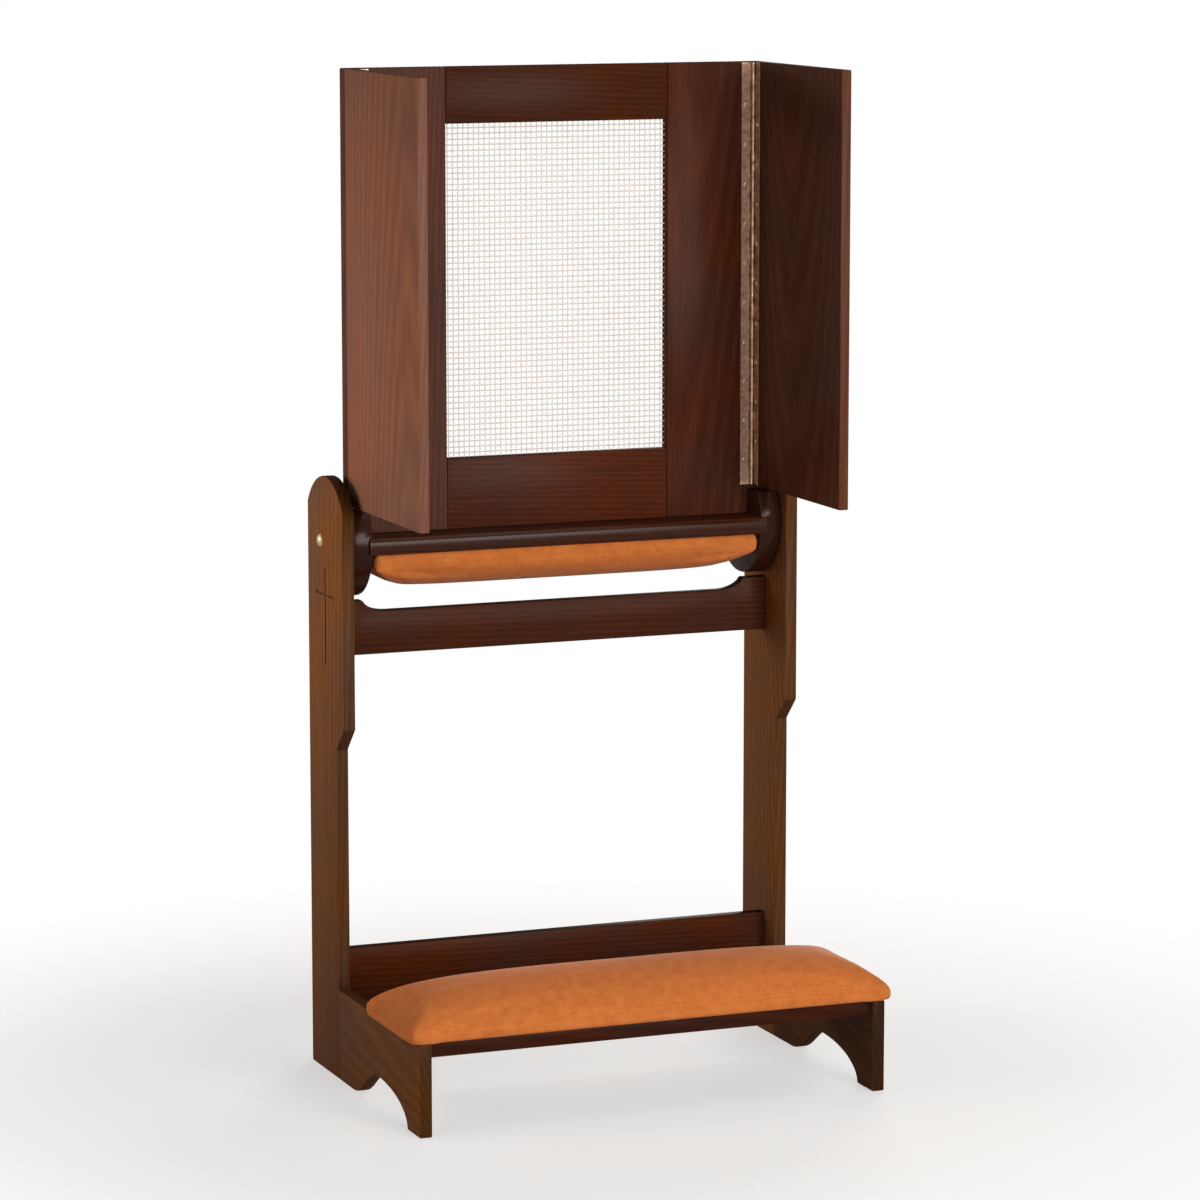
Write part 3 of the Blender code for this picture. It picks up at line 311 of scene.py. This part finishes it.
# How dark the painted shade on a frame board's edges is.
EDGE_SHADE_TONE = 0.55
SATIN, GLOSSY = (0.045, 0.28), (0.16, 0.18)  # how much the coat shines, and how rough it is
BOARDS = {
    "left_upright": ("Z", (0.11, 0.07, 0.2), SATIN, FRAME_STAIN),
    "right_upright": ("Z", (0.05, 0.13, 0.9), SATIN, FRAME_STAIN),
    "left_foot_bracket": ("Y", (0.03, 0.16, 0.4), SATIN, FRAME_STAIN),
    "right_foot_bracket": ("Y", (0.14, 0.02, 1.3), SATIN, SHADED_BRACKET_STAIN),
    "upper_rail": ("X", (0.02, 0.09, 0.7), SATIN, RAIL_STAIN),
    "lower_rail": ("X", (0.07, -0.11, 0.1), SATIN, RAIL_STAIN),
    "kneeler_board": ("X", (0.12, 0.05, 1.6), SATIN, SCREEN_STAIN),
    "armrest_board": ("X", (-0.08, 0.10, 0.5), GLOSSY, SCREEN_STAIN),
    "left_cheek": ("Y", (0.09, 0.04, 0.3), GLOSSY, SCREEN_STAIN),
    "right_cheek": ("Y", (-0.05, 0.12, 0.8), GLOSSY, SCREEN_STAIN),
    "screen_left_stile": ("Z", (0.13, 0.02, 1.1), SATIN, LIT_STILE_STAIN),
    "screen_right_stile": ("Z", (-0.09, 0.06, 0.6), SATIN, SCREEN_STAIN),
    "screen_top_rail": ("X", (0.04, 0.14, 1.9), SATIN, RAIL_STAIN),
    "screen_bottom_rail": ("X", (0.10, -0.04, 2.3), SATIN, SCREEN_STAIN),
    "left_wing": ("Z", (0.06, 0.18, 0.35), SATIN, LIT_LEFT_WING_STAIN),
    "right_wing": ("Z", (0.15, 0.11, 1.45), SATIN, SHADED_RIGHT_WING_STAIN),
    "net_bead_left": ("Z", (0.03, 0.05, 0.1), SATIN, SCREEN_STAIN),
    "net_bead_right": ("Z", (0.08, 0.01, 0.9), SATIN, SCREEN_STAIN),
    "net_bead_top": ("X", (0.01, 0.06, 0.3), SATIN, SCREEN_STAIN),
    "net_bead_bottom": ("X", (0.05, 0.09, 1.2), SATIN, SCREEN_STAIN),
}


def dress(node, material):
    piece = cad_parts[node]
    piece.data.materials.clear()
    piece.data.materials.append(material)


for board, (grain, shift, gloss, stain) in BOARDS.items():
    low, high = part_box(board)
    thinnest = min(range(3), key=lambda k: high[k] - low[k])
    thin_way = [float(k == thinnest) for k in range(3)]
    # Only the frame's boards get painted shade on their edges.
    edge_shade_tone = 1.0 if "screen" in board or "wing" in board else EDGE_SHADE_TONE
    dress(board, stained_walnut(f"stained_walnut_{board}", grain, shift, gloss, thin_way, edge_shade_tone, stain))
print("walnut boards:", len(BOARDS))

# %% [markdown]
# Solids come in as flat facets. A weld joins the facets' corners and an edge split keeps the real arrises
# sharp, so that rounded rims and nosings shade as curves. Both are modifiers: the solids stay as they are.

# %% Shade curves as curves
SHARP_FROM, SAME_POINT = math.radians(35), 0.02 * MM

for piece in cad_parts.values():
    for face in piece.data.polygons:
        face.use_smooth = True
    weld = piece.modifiers.new("join_facets", "WELD")
    weld.merge_threshold = SAME_POINT
    split = piece.modifiers.new("keep_arrises", "EDGE_SPLIT")
    split.split_angle = SHARP_FROM
print("shaded:", len(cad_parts))

# %% [markdown]
# ## Metal, nylon and beech
# The piano hinges are rolled brass strip, chemically browned: a metal with a dull, cloudy surface. The
# pivot bolts are plated steel. Inside the joints are a nylon bush, a machined brass insert and beech
# dowels, which show only when the object is taken apart, but they get their own finish too. In each, the
# clouds that change the colour also change the shine and leave slight lumps, so that light breaks up on it.

# %% Recipes for the small hardware
LUMP = 0.05 * MM


def clouded(name, dark, light, spot, rough, metallic):
    material, tree, shader, place = blank(name)
    cloud = add(tree, NOISE, {"Vector": place, "Scale": 1 / spot, "Detail": 4, "Roughness": 0.65})
    cloud = cloud.outputs["Fac"]
    tone = add(tree, RAMP, {"Fac": cloud})
    for end, position, code in ((0, 0.34, dark), (1, 0.66, light)):
        tone.color_ramp.elements[end].position = position
        tone.color_ramp.elements[end].color = srgb(code)
    tree.links.new(tone.outputs["Color"], shader.inputs["Base Color"])
    shine = add(tree, REMAP, {"Value": cloud, 1: 0.3, 2: 0.7, 3: rough[1], 4: rough[0]})
    tree.links.new(shine.outputs[0], shader.inputs["Roughness"])
    relief = add(tree, BUMP, {"Height": cloud, "Strength": 0.3, "Distance": LUMP})
    tree.links.new(relief.outputs[0], shader.inputs["Normal"])
    shader.inputs["Metallic"].default_value = metallic
    return material


# Strip rolled thin, then browned in a bath: dull and cloudy, with soft broken highlights.
antique_brass = clouded("antique_brass_rolled_browned", "7B5F4C", "B0917B", 7 * MM, (0.34, 0.50), 1.0)
# Cut on a lathe and left bare: yellower, with a cleaner shine.
machined_brass = clouded("machined_brass", "A07C3E", "C9A560", 3 * MM, (0.2, 0.35), 1.0)
# Plated, then rubbed by the driver and by cloths: the brightest metal here.
plated_screw = clouded("brass_plated_screw_rubbed_bright", "BFA48C", "E6D0BA", 3 * MM, (0.26, 0.4), 1.0)
# Zinc plating: a yellowish grey bloom.
plated_steel = clouded("zinc_plated_steel", "8C8068", "B4A888", 4 * MM, (0.28, 0.44), 1.0)
# Moulded: pale, even and a little waxy.
moulded_nylon = clouded("moulded_nylon", "CFCABF", "E2DED4", 5 * MM, (0.4, 0.55), 0.0)
# Turned and left bare: pale and matt.
turned_beech = clouded("turned_beech", "B98F5E", "D8B686", 3 * MM, (0.5, 0.65), 0.0)

HARDWARE = {
    "hinge_screen_leaf": antique_brass,
    "hinge_wing_leaf": antique_brass,
    "hinge_pin": antique_brass,
    "pivot_insert": machined_brass,
    "pivot_bolt": plated_steel,
    "stop_pin": plated_steel,
    "pivot_bush": moulded_nylon,
}
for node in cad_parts:
    for ending, material in HARDWARE.items():
        if node.endswith(ending):
            dress(node, material)
    if "dowel" in node:
        dress(node, turned_beech)
print("hardware finishes:", len(set(HARDWARE.values())) + 1)

# %% [markdown]
# ## New pieces
# A new piece is a mesh in the same metres as the solids. It takes a material and rides on a body, so that
# it turns with the screen or folds with a wing.

# %% A helper for new pieces
def new_piece(name, shape, material, body, smooth=True):
    mesh = bpy.data.meshes.new(name)
    bmesh.ops.recalc_face_normals(shape, faces=shape.faces)
    shape.to_mesh(mesh)
    shape.free()
    mesh.materials.append(material)
    if smooth:
        mesh.shade_smooth()
    piece = bpy.data.objects.new(name, mesh)
    scene.collection.objects.link(piece)
    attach(piece, body)
    return piece


# %% [markdown]
# ## Rust-orange upholstery cloth
# The pads are covered with a tight plain weave of orange yarn. Real threads are about 0.8 mm apart, which
# is less than a pixel here, so the weave is drawn at 2.4 mm. Two sets of ridges cross each other, and
# slubs, the thicker places in the yarn, give it patches of lighter and darker colour. A little sheen
# stands for the fluff on the yarn.

# %% A recipe for the cloth
YARN, YARN_RELIEF, SLUB = 2.4 * MM, 0.3 * MM, 14 * MM
WEAVE_SHARE = 0.12


def woven_cloth(name, dark, light):
    material, tree, shader, place = blank(name)
    ridges = {"Vector": place, "Scale": WAVE_UNIT / YARN, "Distortion": 1.2, "Detail": 2, "Detail Scale": 2}
    warp, weft = (add(tree, WAVE, ridges, bands_direction=way).outputs["Fac"] for way in "XY")
    weave = add(tree, MATH, {0: warp, 1: weft}, operation="ADD").outputs[0]
    slubs = add(tree, NOISE, {"Vector": place, "Scale": 1 / SLUB, "Detail": 5, "Roughness": 0.7})
    patches = {0: weave, 1: WEAVE_SHARE, 2: slubs.outputs["Fac"]}
    mixed = add(tree, MATH, patches, operation="MULTIPLY_ADD")
    yarn = add(tree, RAMP, {"Fac": mixed.outputs[0]})
    for end, position, code in ((0, 0.38, dark), (1, 0.86, light)):
        yarn.color_ramp.elements[end].position = position
        yarn.color_ramp.elements[end].color = srgb(code)
    tree.links.new(yarn.outputs["Color"], shader.inputs["Base Color"])
    relief = add(tree, BUMP, {"Height": weave, "Strength": 0.35, "Distance": YARN_RELIEF})
    tree.links.new(relief.outputs[0], shader.inputs["Normal"])
    shader.inputs["Roughness"].default_value = 0.86
    shader.inputs["Specular IOR Level"].default_value = 0.05
    shader.inputs["Sheen Weight"].default_value = 0.06
    shader.inputs["Sheen Roughness"].default_value = 0.5
    return material


orange_cloth = woven_cloth("orange_plain_weave_upholstery", "B8662E", "CF7B41")
print("cloth thread drawn at", YARN / MM, "mm")

# %% [markdown]
# ## The pads
# A pad is a slab of foam with cloth pulled over it and tacked under a board, so its base is flat, its
# sides swell and are drawn in between the corners, and its top rises to a crown. The form is lofted
# from rings, a little smaller than it should end.

# %% Loft a pad from rings
LONG_STEPS, SHORT_STEPS, CORNER_STEPS = 56, 16, 5
SWELL_STEPS, SWELL_TURN, CROWN_STEPS = 6, 140, 14
RINGS_MEET = 0.01 * MM


def pad_ring(half_length, half_width, corner, draw):
    along, across = half_length - corner, half_width - corner
    corners = ((along, across, 0), (-along, across, 90), (-along, -across, 180), (along, -across, 270))
    ring = []
    for k, (x, y, first) in enumerate(corners):
        for step in range(CORNER_STEPS + 1):
            a = math.radians(first + 90 * step / CORNER_STEPS)
            ring.append((x + corner * math.cos(a), y + corner * math.sin(a)))
        to_x, to_y, _ = corners[(k + 1) % 4]
        out_x, out_y = math.cos(math.radians(first + 90)), math.sin(math.radians(first + 90))
        steps, pull = (LONG_STEPS, draw) if k % 2 == 0 else (SHORT_STEPS, draw / 2)
        for step in range(1, steps):
            share = step / steps
            sag = corner - pull * 4 * share * (1 - share)
            ring.append((x + (to_x - x) * share + sag * out_x, y + (to_y - y) * share + sag * out_y))
    return ring


def loft_pad(half_length, half_width, rim, crown, corner, fall, fullness, tuck, draw):
    levels = []
    for k in range(SWELL_STEPS + 1):
        swell = math.radians(-90 + SWELL_TURN * k / SWELL_STEPS)
        levels.append((tuck * (1 - math.cos(swell)), rim / 2 * (1 + math.sin(swell)), 0))
    inset, height, _ = levels[-1]
    for k in range(1, CROWN_STEPS + 1):
        share = k / CROWN_STEPS
        rise = (crown - height) * math.sin(math.pi / 2 * share) ** fullness
        levels.append((inset + (half_width - inset) * share, height, rise))
    shape = bmesh.new()
    loops = []
    for ring_inset, ring_height, rise in levels:
        left = 1 - ring_inset / half_width
        ring = pad_ring(half_length - ring_inset, half_width - ring_inset, corner * left, draw * left)
        heights = [ring_height + rise * (1 - fall * (x / half_length) ** 4) for x, _ in ring]
        loops.append([shape.verts.new((x, y, z)) for (x, y), z in zip(ring, heights)])
    shape.faces.new(reversed(loops[0]))
    for lower, upper in zip(loops, loops[1:]):
        for k in range(len(lower)):
            nxt = (k + 1) % len(lower)
            shape.faces.new((lower[k], lower[nxt], upper[nxt], upper[k]))
    bmesh.ops.remove_doubles(shape, verts=shape.verts, dist=RINGS_MEET)
    bmesh.ops.recalc_face_normals(shape, faces=shape.faces)
    return shape


print("rings in a pad:", SWELL_STEPS + 1 + CROWN_STEPS)

# %% [markdown]
# The form is remeshed into even squares and blown up by a cloth simulation with its base pinned, which
# rounds it as foam under cloth does. A cap on how far a point may move keeps it inside the space of the
# plain solid that it replaces, and points near a square end hardly move.

# %% Blow a pad up with a cloth simulation
VOXEL, PRESSURE, FRAMES = 5 * MM, 4.0, 20
TACKED_BELOW = 1.5 * MM
STILL_END, STILL_SHARE = 25 * MM, 0.1


def blow_up(piece, cap, square_ends):
    remesh = piece.modifiers.new("even_squares", "REMESH")
    remesh.mode, remesh.voxel_size = "VOXEL", VOXEL
    bpy.context.view_layer.update()
    shown = piece.evaluated_get(bpy.context.evaluated_depsgraph_get())
    even = bpy.data.meshes.new_from_object(shown)
    piece.modifiers.clear()
    piece.data = even
    start = np.array([v.co for v in even.vertices])
    tacked = piece.vertex_groups.new(name="tacked_under")
    tacked.add([int(k) for k in np.where(start[:, 2] < TACKED_BELOW)[0]], 1.0, "REPLACE")
    cloth = piece.modifiers.new("blown_up", "CLOTH")
    cloth.settings.quality = 5
    cloth.settings.mass = 0.3
    cloth.settings.tension_stiffness = 15
    cloth.settings.compression_stiffness = 15
    cloth.settings.bending_stiffness = 0.6
    cloth.settings.vertex_group_mass = tacked.name
    cloth.settings.use_pressure = True
    cloth.settings.uniform_pressure_force = PRESSURE
    cloth.settings.effector_weights.gravity = 0
    cloth.point_cache.frame_start, cloth.point_cache.frame_end = 1, FRAMES
    for step in range(1, FRAMES + 1):
        scene.frame_set(step)
    shown = piece.evaluated_get(bpy.context.evaluated_depsgraph_get())
    moved = np.array([v.co for v in shown.data.vertices])
    piece.modifiers.clear()
    scene.frame_set(1)
    step = moved - start
    far = np.linalg.norm(step, axis=1, keepdims=True)
    allowed = np.full((len(start), 1), cap)
    if square_ends:
        from_end = np.abs(start[:, 0]).max() - np.abs(start[:, :1])
        allowed *= np.clip(from_end / STILL_END, STILL_SHARE, 1)
    step *= np.minimum(1, allowed / np.maximum(far, 1e-9))
    return start + step


print("cloth blown up over", FRAMES, "frames, in squares of", VOXEL / MM, "mm")

# %% [markdown]
# The kneeling pad covers the board and the tops of both brackets. The armrest's pad has the same making,
# but hangs crown down until the screen is turned over, and its ends are cut square between the cheeks.
# What differs is the rim's height, the corner's radius, how far the crown falls towards the ends and how
# full it is. Both forms are lofted smaller by the same amount, which the blowing up makes good.

# %% Make both pads
SHRINK, SHORTER, NARROWER = 4 * MM, 0.3, 0.5  # the last two are shares of the first
TUCK, HANGING_TUCK, DRAW = 0.16, 0.04, 0.1  # shares of the rim


def make_pad(node, name, body, rim, corner, fall, fullness, upside_down):
    low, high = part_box(node)
    half = (high - low) / 2
    crown = 2 * half.z
    lofted = (half.x - SHORTER * SHRINK, half.y - NARROWER * SHRINK)
    tuck = (HANGING_TUCK if upside_down else TUCK) * rim
    shape = loft_pad(*lofted, rim, crown - SHRINK, corner, fall, fullness, tuck, DRAW * rim)
    piece = new_piece(name, shape, orange_cloth, body)
    points = blow_up(piece, SHRINK, upside_down)
    points[:, 2] = np.maximum(points[:, 2], 0) * crown / points[:, 2].max()
    for axis, reach in ((0, half.x), (1, half.y)):
        points[:, axis] *= reach / np.abs(points[:, axis]).max()
    middle = (low + high) / 2
    if upside_down:
        points[:, 1:] *= -1
        points += (middle.x, middle.y, high.z)
    else:
        points += (middle.x, middle.y, low.z)
    piece.data.vertices.foreach_set("co", points.astype(np.float32).ravel())
    piece.data.update()
    piece.data.materials.clear()
    piece.data.materials.append(orange_cloth)
    piece.data.shade_smooth()
    finer = piece.modifiers.new("smooth_cloth", "SUBSURF")
    finer.levels = finer.render_levels = 1
    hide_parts(node)
    print(name, len(piece.data.vertices), "points, crown", round(crown / MM, 1), "mm")


kneeling = {"rim": 17 * MM, "corner": 10 * MM, "fall": 0.4, "fullness": 0.6, "upside_down": False}
leaning = {"rim": 24 * MM, "corner": 3 * MM, "fall": 0.1, "fullness": 1.0, "upside_down": True}
make_pad("kneeler_pad", "kneeling_pad_cover", "frame", **kneeling)
make_pad("armrest_pad", "armrest_pad_cover", "screen", **leaning)

# %% [markdown]
# ## The net
# The window is filled with an open linen net, stretched flat, so that voices pass and faces stay veiled.
# Its yarn is bleached linen, soft and pressed flat, so it looks pale, matt and blurred. Its colour is set
# paler still, nearly white, as painted light for the light that shines through the thin threads from
# behind.
# The fuzz on real yarn is a fraction of a millimetre, too fine to show here, so it is drawn at 2.5 mm.

# %% A recipe for the linen
FUZZ, FUZZ_DEPTH = 2.5 * MM, 0.15 * MM


def linen(name, dark, light):
    material, tree, shader, place = blank(name)
    fuzz = add(tree, NOISE, {"Vector": place, "Scale": 1 / FUZZ, "Detail": 4, "Roughness": 0.7})
    tone = add(tree, RAMP, {"Fac": fuzz.outputs["Fac"]})
    for end, position, code in ((0, 0.35, dark), (1, 0.65, light)):
        tone.color_ramp.elements[end].position = position
        tone.color_ramp.elements[end].color = srgb(code)
    tree.links.new(tone.outputs["Color"], shader.inputs["Base Color"])
    relief = add(tree, BUMP, {"Height": fuzz.outputs["Fac"], "Strength": 0.4, "Distance": FUZZ_DEPTH})
    tree.links.new(relief.outputs[0], shader.inputs["Normal"])
    shader.inputs["Roughness"].default_value = 0.85
    shader.inputs["Specular IOR Level"].default_value = 0.2
    return material


# Painted light: both tones are nearly white, paler than the yarn, for light shining through the threads.
net_linen = linen("bleached_linen_yarn_pressed_flat", "EAE4DB", "FAF7F2")
print("linen fuzz drawn at", FUZZ / MM, "mm")

# %% [markdown]
# Threads run both ways about 7 mm apart, and each goes over one and under the next. A thread is about twice
# as wide as it is thick. Each is a real four-sided tube that rises and falls at its crossings.

# %% Weave the net
THREAD_PITCH, THREAD_WIDE, THREAD_THICK, THREAD_RISE = 7 * MM, 1.6 * MM, 0.72 * MM, 0.36 * MM


def close_tube(shape, rings):
    for lower, upper in zip(rings, rings[1:]):
        for k in range(4):
            shape.faces.new((lower[k], lower[(k + 1) % 4], upper[(k + 1) % 4], upper[k]))
    shape.faces.new(rings[0])
    shape.faces.new(rings[-1])


def weave_net(low, high):
    shape = bmesh.new()
    columns = int((high.x - low.x) / THREAD_PITCH)
    rows = int((high.z - low.z) / THREAD_PITCH)
    xs = [low.x + (high.x - low.x) * (k + 0.5) / columns for k in range(columns)]
    zs = [low.z + (high.z - low.z) * (k + 0.5) / rows for k in range(rows)]
    y = (low.y + high.y) / 2
    half, thin = THREAD_WIDE / 2, THREAD_THICK / 2
    section = ((-half, 0), (0, -thin), (half, 0), (0, thin))
    for first, x in enumerate(xs):
        rise = [THREAD_RISE * (-1) ** (first + k) for k in range(rows)]
        stops = [(low.z, rise[0]), *zip(zs, rise), (high.z, rise[-1])]
        close_tube(shape, [[shape.verts.new((x + a, y + r + b, z)) for a, b in section] for z, r in stops])
    for first, z in enumerate(zs):
        rise = [-THREAD_RISE * (-1) ** (first + k) for k in range(columns)]
        stops = [(low.x, rise[0]), *zip(xs, rise), (high.x, rise[-1])]
        close_tube(shape, [[shape.verts.new((x, y + r + b, z + a)) for a, b in section] for x, r in stops])
    print("net threads:", columns, "upright and", rows, "level")
    return shape


net_low, net_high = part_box("screen_net")
net = new_piece("linen_net", weave_net(net_low, net_high), net_linen, "screen")
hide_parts("screen_net")

# %% [markdown]
# ## Hinge screws
# The heads are small raised ones with a cross slot, set into the leaf, and the driver and cleaning cloths
# have rubbed them brighter than the browned strip.

# %% Shape a screw head
HEAD_RADIUS, HEAD_SIDES, HEAD_SUNK = 2.9 * MM, 20, 0.4 * MM
BROW_RISE, HEAD_RISE, CROWN_SHARE = 0.1 * MM, 0.7 * MM, 0.78
SLOT_HALF, SLOT_REACH, SLOT_DEEP, SLOT_TAPER = 0.42 * MM, 1.7 * MM, 0.8 * MM, 0.9


def screw_head(shape, place):
    """A raised head at the origin, facing +Z, with a sunk cross slot."""

    def loop(points, height):
        return [shape.verts.new(place @ Vector((x, y, height))) for x, y in points]

    def circle(radius):
        turns = [2 * math.pi * k / HEAD_SIDES for k in range(HEAD_SIDES)]
        return [(radius * math.cos(a), radius * math.sin(a)) for a in turns]

    rim = loop(circle(HEAD_RADIUS), -HEAD_SUNK)
    brow = loop(circle(HEAD_RADIUS), BROW_RISE)
    top = loop(circle(CROWN_SHARE * HEAD_RADIUS), HEAD_RISE)
    cross = [(SLOT_REACH, -SLOT_HALF), (SLOT_REACH, SLOT_HALF), (SLOT_HALF, SLOT_HALF)]
    for _ in range(3):
        cross += [(-y, x) for x, y in cross[-3:]]
    lip = loop(cross, HEAD_RISE)
    sunk = loop([(SLOT_TAPER * x, SLOT_TAPER * y) for x, y in cross], HEAD_RISE - SLOT_DEEP)
    for lower, upper in ((rim, brow), (brow, top), (lip, sunk)):
        for k in range(len(lower)):
            nxt = (k + 1) % len(lower)
            shape.faces.new((lower[k], lower[nxt], upper[nxt], upper[k]))
    shape.faces.new(rim)
    shape.faces.new(sunk)
    pairs = [pair for ring in (top, lip) for pair in zip(ring, ring[1:] + ring[:1])]
    edges = [shape.edges.get(pair) or shape.edges.new(pair) for pair in pairs]
    bmesh.ops.triangle_fill(shape, use_beauty=True, edges=edges)


print("screw heads", round(2 * HEAD_RADIUS / MM, 1), "mm across")

# %% [markdown]
# A piano hinge is screwed down every two inches. Each leaf's screws are one piece, so that they fold with
# that leaf. The wing leaf's screws stand between those of the screen leaf, so that no two heads meet when
# the hinge is folded.

# %% Drive the screws
SCREW_PITCH, SCREWS, FIRST_SCREW_DOWN = 50.8 * MM, 10, 55 * MM
SCREW_INSET, LEAF = 6 * MM, 1.2 * MM


def drive(name, places, body):
    shape = bmesh.new()
    for place in places:
        screw_head(shape, place)
    new_piece(name, shape, plated_screw, body, smooth=False)


first_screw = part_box("left_wing")[1].z - FIRST_SCREW_DOWN
screw_heights = [first_screw - k * SCREW_PITCH for k in range(SCREWS)]
for side, label in ((-1, "left"), (1, "right")):
    low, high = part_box(f"{label}_hinge_screen_leaf")
    x = low.x + SCREW_INSET if side > 0 else high.x - SCREW_INSET
    y = high.y - LEAF
    to_front = Matrix.Rotation(math.radians(90), 4, "X")
    places = [Matrix.Translation((x, y, z)) @ to_front for z in screw_heights]
    drive(f"{label}_screen_leaf_screws", places, "screen")
    low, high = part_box(f"{label}_hinge_wing_leaf")
    x = high.x - LEAF if side > 0 else low.x + LEAF
    y = low.y + SCREW_INSET
    inwards = Matrix.Rotation(math.radians(-90 * side), 4, "Y")
    places = [Matrix.Translation((x, y, z - SCREW_PITCH / 2)) @ inwards for z in screw_heights[:-1]]
    drive(f"{label}_wing_leaf_screws", places, f"{label}_wing")
print("screws in each screen leaf:", len(screw_heights))

# %% [markdown]
# ## Studio: floor, world and lamps
# The object stands on a pale floor against white. The floor's paint is matt, so it takes a soft shadow and
# mirrors nothing. It lets part of the white through and fades out away from the object, so that no edge
# shows.

# %% Lay the floor
FLOOR_HALF, FLOOR_DROP = 1.6, 0.4 * MM
FLOOR_THIN, FADE_FROM, FADE_TO = 0.55, 0.45, 1.25
SCUFFS_ACROSS, SCUFFED, CLEAN = 3, 0.90, 0.94

floor_shape = bmesh.new()
bmesh.ops.create_grid(floor_shape, x_segments=8, y_segments=8, size=FLOOR_HALF)
floor_mesh = bpy.data.meshes.new("floor")
floor_shape.to_mesh(floor_mesh)
floor_shape.free()
floor = bpy.data.objects.new("floor", floor_mesh)
floor.location.z = -FLOOR_DROP
scene.collection.objects.link(floor)
floor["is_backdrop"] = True

floor_material, tree, paint, where = blank("painted_white_studio_floor")
paint.inputs["Roughness"].default_value = 0.9
paint.inputs["Specular IOR Level"].default_value = 0.1
scuffs = add(tree, NOISE, {"Scale": SCUFFS_ACROSS, "Detail": 4})
tone = add(tree, REMAP, {"Value": scuffs.outputs["Fac"], 1: 0.3, 2: 0.7, 3: SCUFFED, 4: CLEAN})
tree.links.new(tone.outputs[0], paint.inputs["Base Color"])
distance = add(tree, VECTOR, {0: where}, operation="LENGTH").outputs["Value"]
fade = add(tree, REMAP, {"Value": distance, 1: FADE_FROM, 2: FADE_TO}, interpolation_type="SMOOTHSTEP")
thin = add(tree, REMAP, {"Value": fade.outputs[0], 3: FLOOR_THIN, 4: 1.0})
clear = add(tree, "ShaderNodeBsdfTransparent")
blend = add(tree, "ShaderNodeMixShader", {0: thin.outputs[0], 1: paint.outputs[0], 2: clear.outputs[0]})
tree.links.new(blend.outputs[0], tree.nodes["Material Output"].inputs["Surface"])
floor_mesh.materials.append(floor_material)
print("floor", 2 * FLOOR_HALF, "m square, fading from", FADE_FROM, "to", FADE_TO, "m")

# %% [markdown]
# The world looks white to the camera, in shiny surfaces and through clear ones, but gives only a soft fill.

# %% Light the world
FILL = 0.18
world = bpy.data.worlds.new("studio")
world.use_nodes = True
scene.world = world
tree = world.node_tree
sky = tree.nodes["Background"]
sky.inputs["Color"].default_value = (1, 1, 1, 1)
rays = add(tree, "ShaderNodeLightPath").outputs
seen = add(tree, MATH, {0: rays["Is Camera Ray"], 1: rays["Is Glossy Ray"]}, operation="MAXIMUM")
seen = add(tree, MATH, {0: seen.outputs[0], 1: rays["Is Transmission Ray"]}, operation="MAXIMUM")
strength = add(tree, REMAP, {"Value": seen.outputs[0], 3: FILL, 4: 1.0})
tree.links.new(strength.outputs[0], sky.inputs["Strength"])
print("world ready, fill", FILL)

# %% [markdown]
# A warm lamp on the left with a narrowed beam lights the wing and the uprights from the side, as in the
# photograph, a wide lamp in front keeps the pads bright, a faint one above lifts the tops, and one behind
# shows the back and the far side to anyone who walks round.

# %% Hang the lamps
WARM, NEARLY_WHITE, WHITE = "FFEBDC", "FFF6EE", "FFFFFF"


def hang(name, place, aim, size, watts, colour, spread=180):
    lamp = bpy.data.lights.new(name, "AREA")
    lamp.shape, lamp.size, lamp.size_y = "RECTANGLE", *size
    lamp.energy = watts
    lamp.spread = math.radians(spread)
    lamp.color = srgb(colour)[:3]
    fitting = bpy.data.objects.new(name, lamp)
    fitting.location = place
    fitting.rotation_euler = (Vector(aim) - Vector(place)).to_track_quat("-Z", "Y").to_euler()
    scene.collection.objects.link(fitting)


hang("left_softbox", (-1.9, 0.5, 1.0), (-0.3, 0.1, 0.83), (1.8, 0.9), 6.1, WARM, spread=65)
hang("front_softbox", (0.75, -4.25, 1.2), (0, 0, 0.6), (2.2, 1.6), 165, NEARLY_WHITE)
hang("top_softbox", (1.0, -0.8, 3.0), (0, -0.1, 0.3), (1.6, 1.6), 10, WHITE)
hang("rear_softbox", (2.4, 3.2, 0.9), (0, 0, 0.6), (2.0, 1.6), 120, NEARLY_WHITE)

# %% [markdown]
# ## Sizes
# The dressed model has to stay in the solids' space, so its box is measured.

# %% Measure the dressed model
low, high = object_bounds()
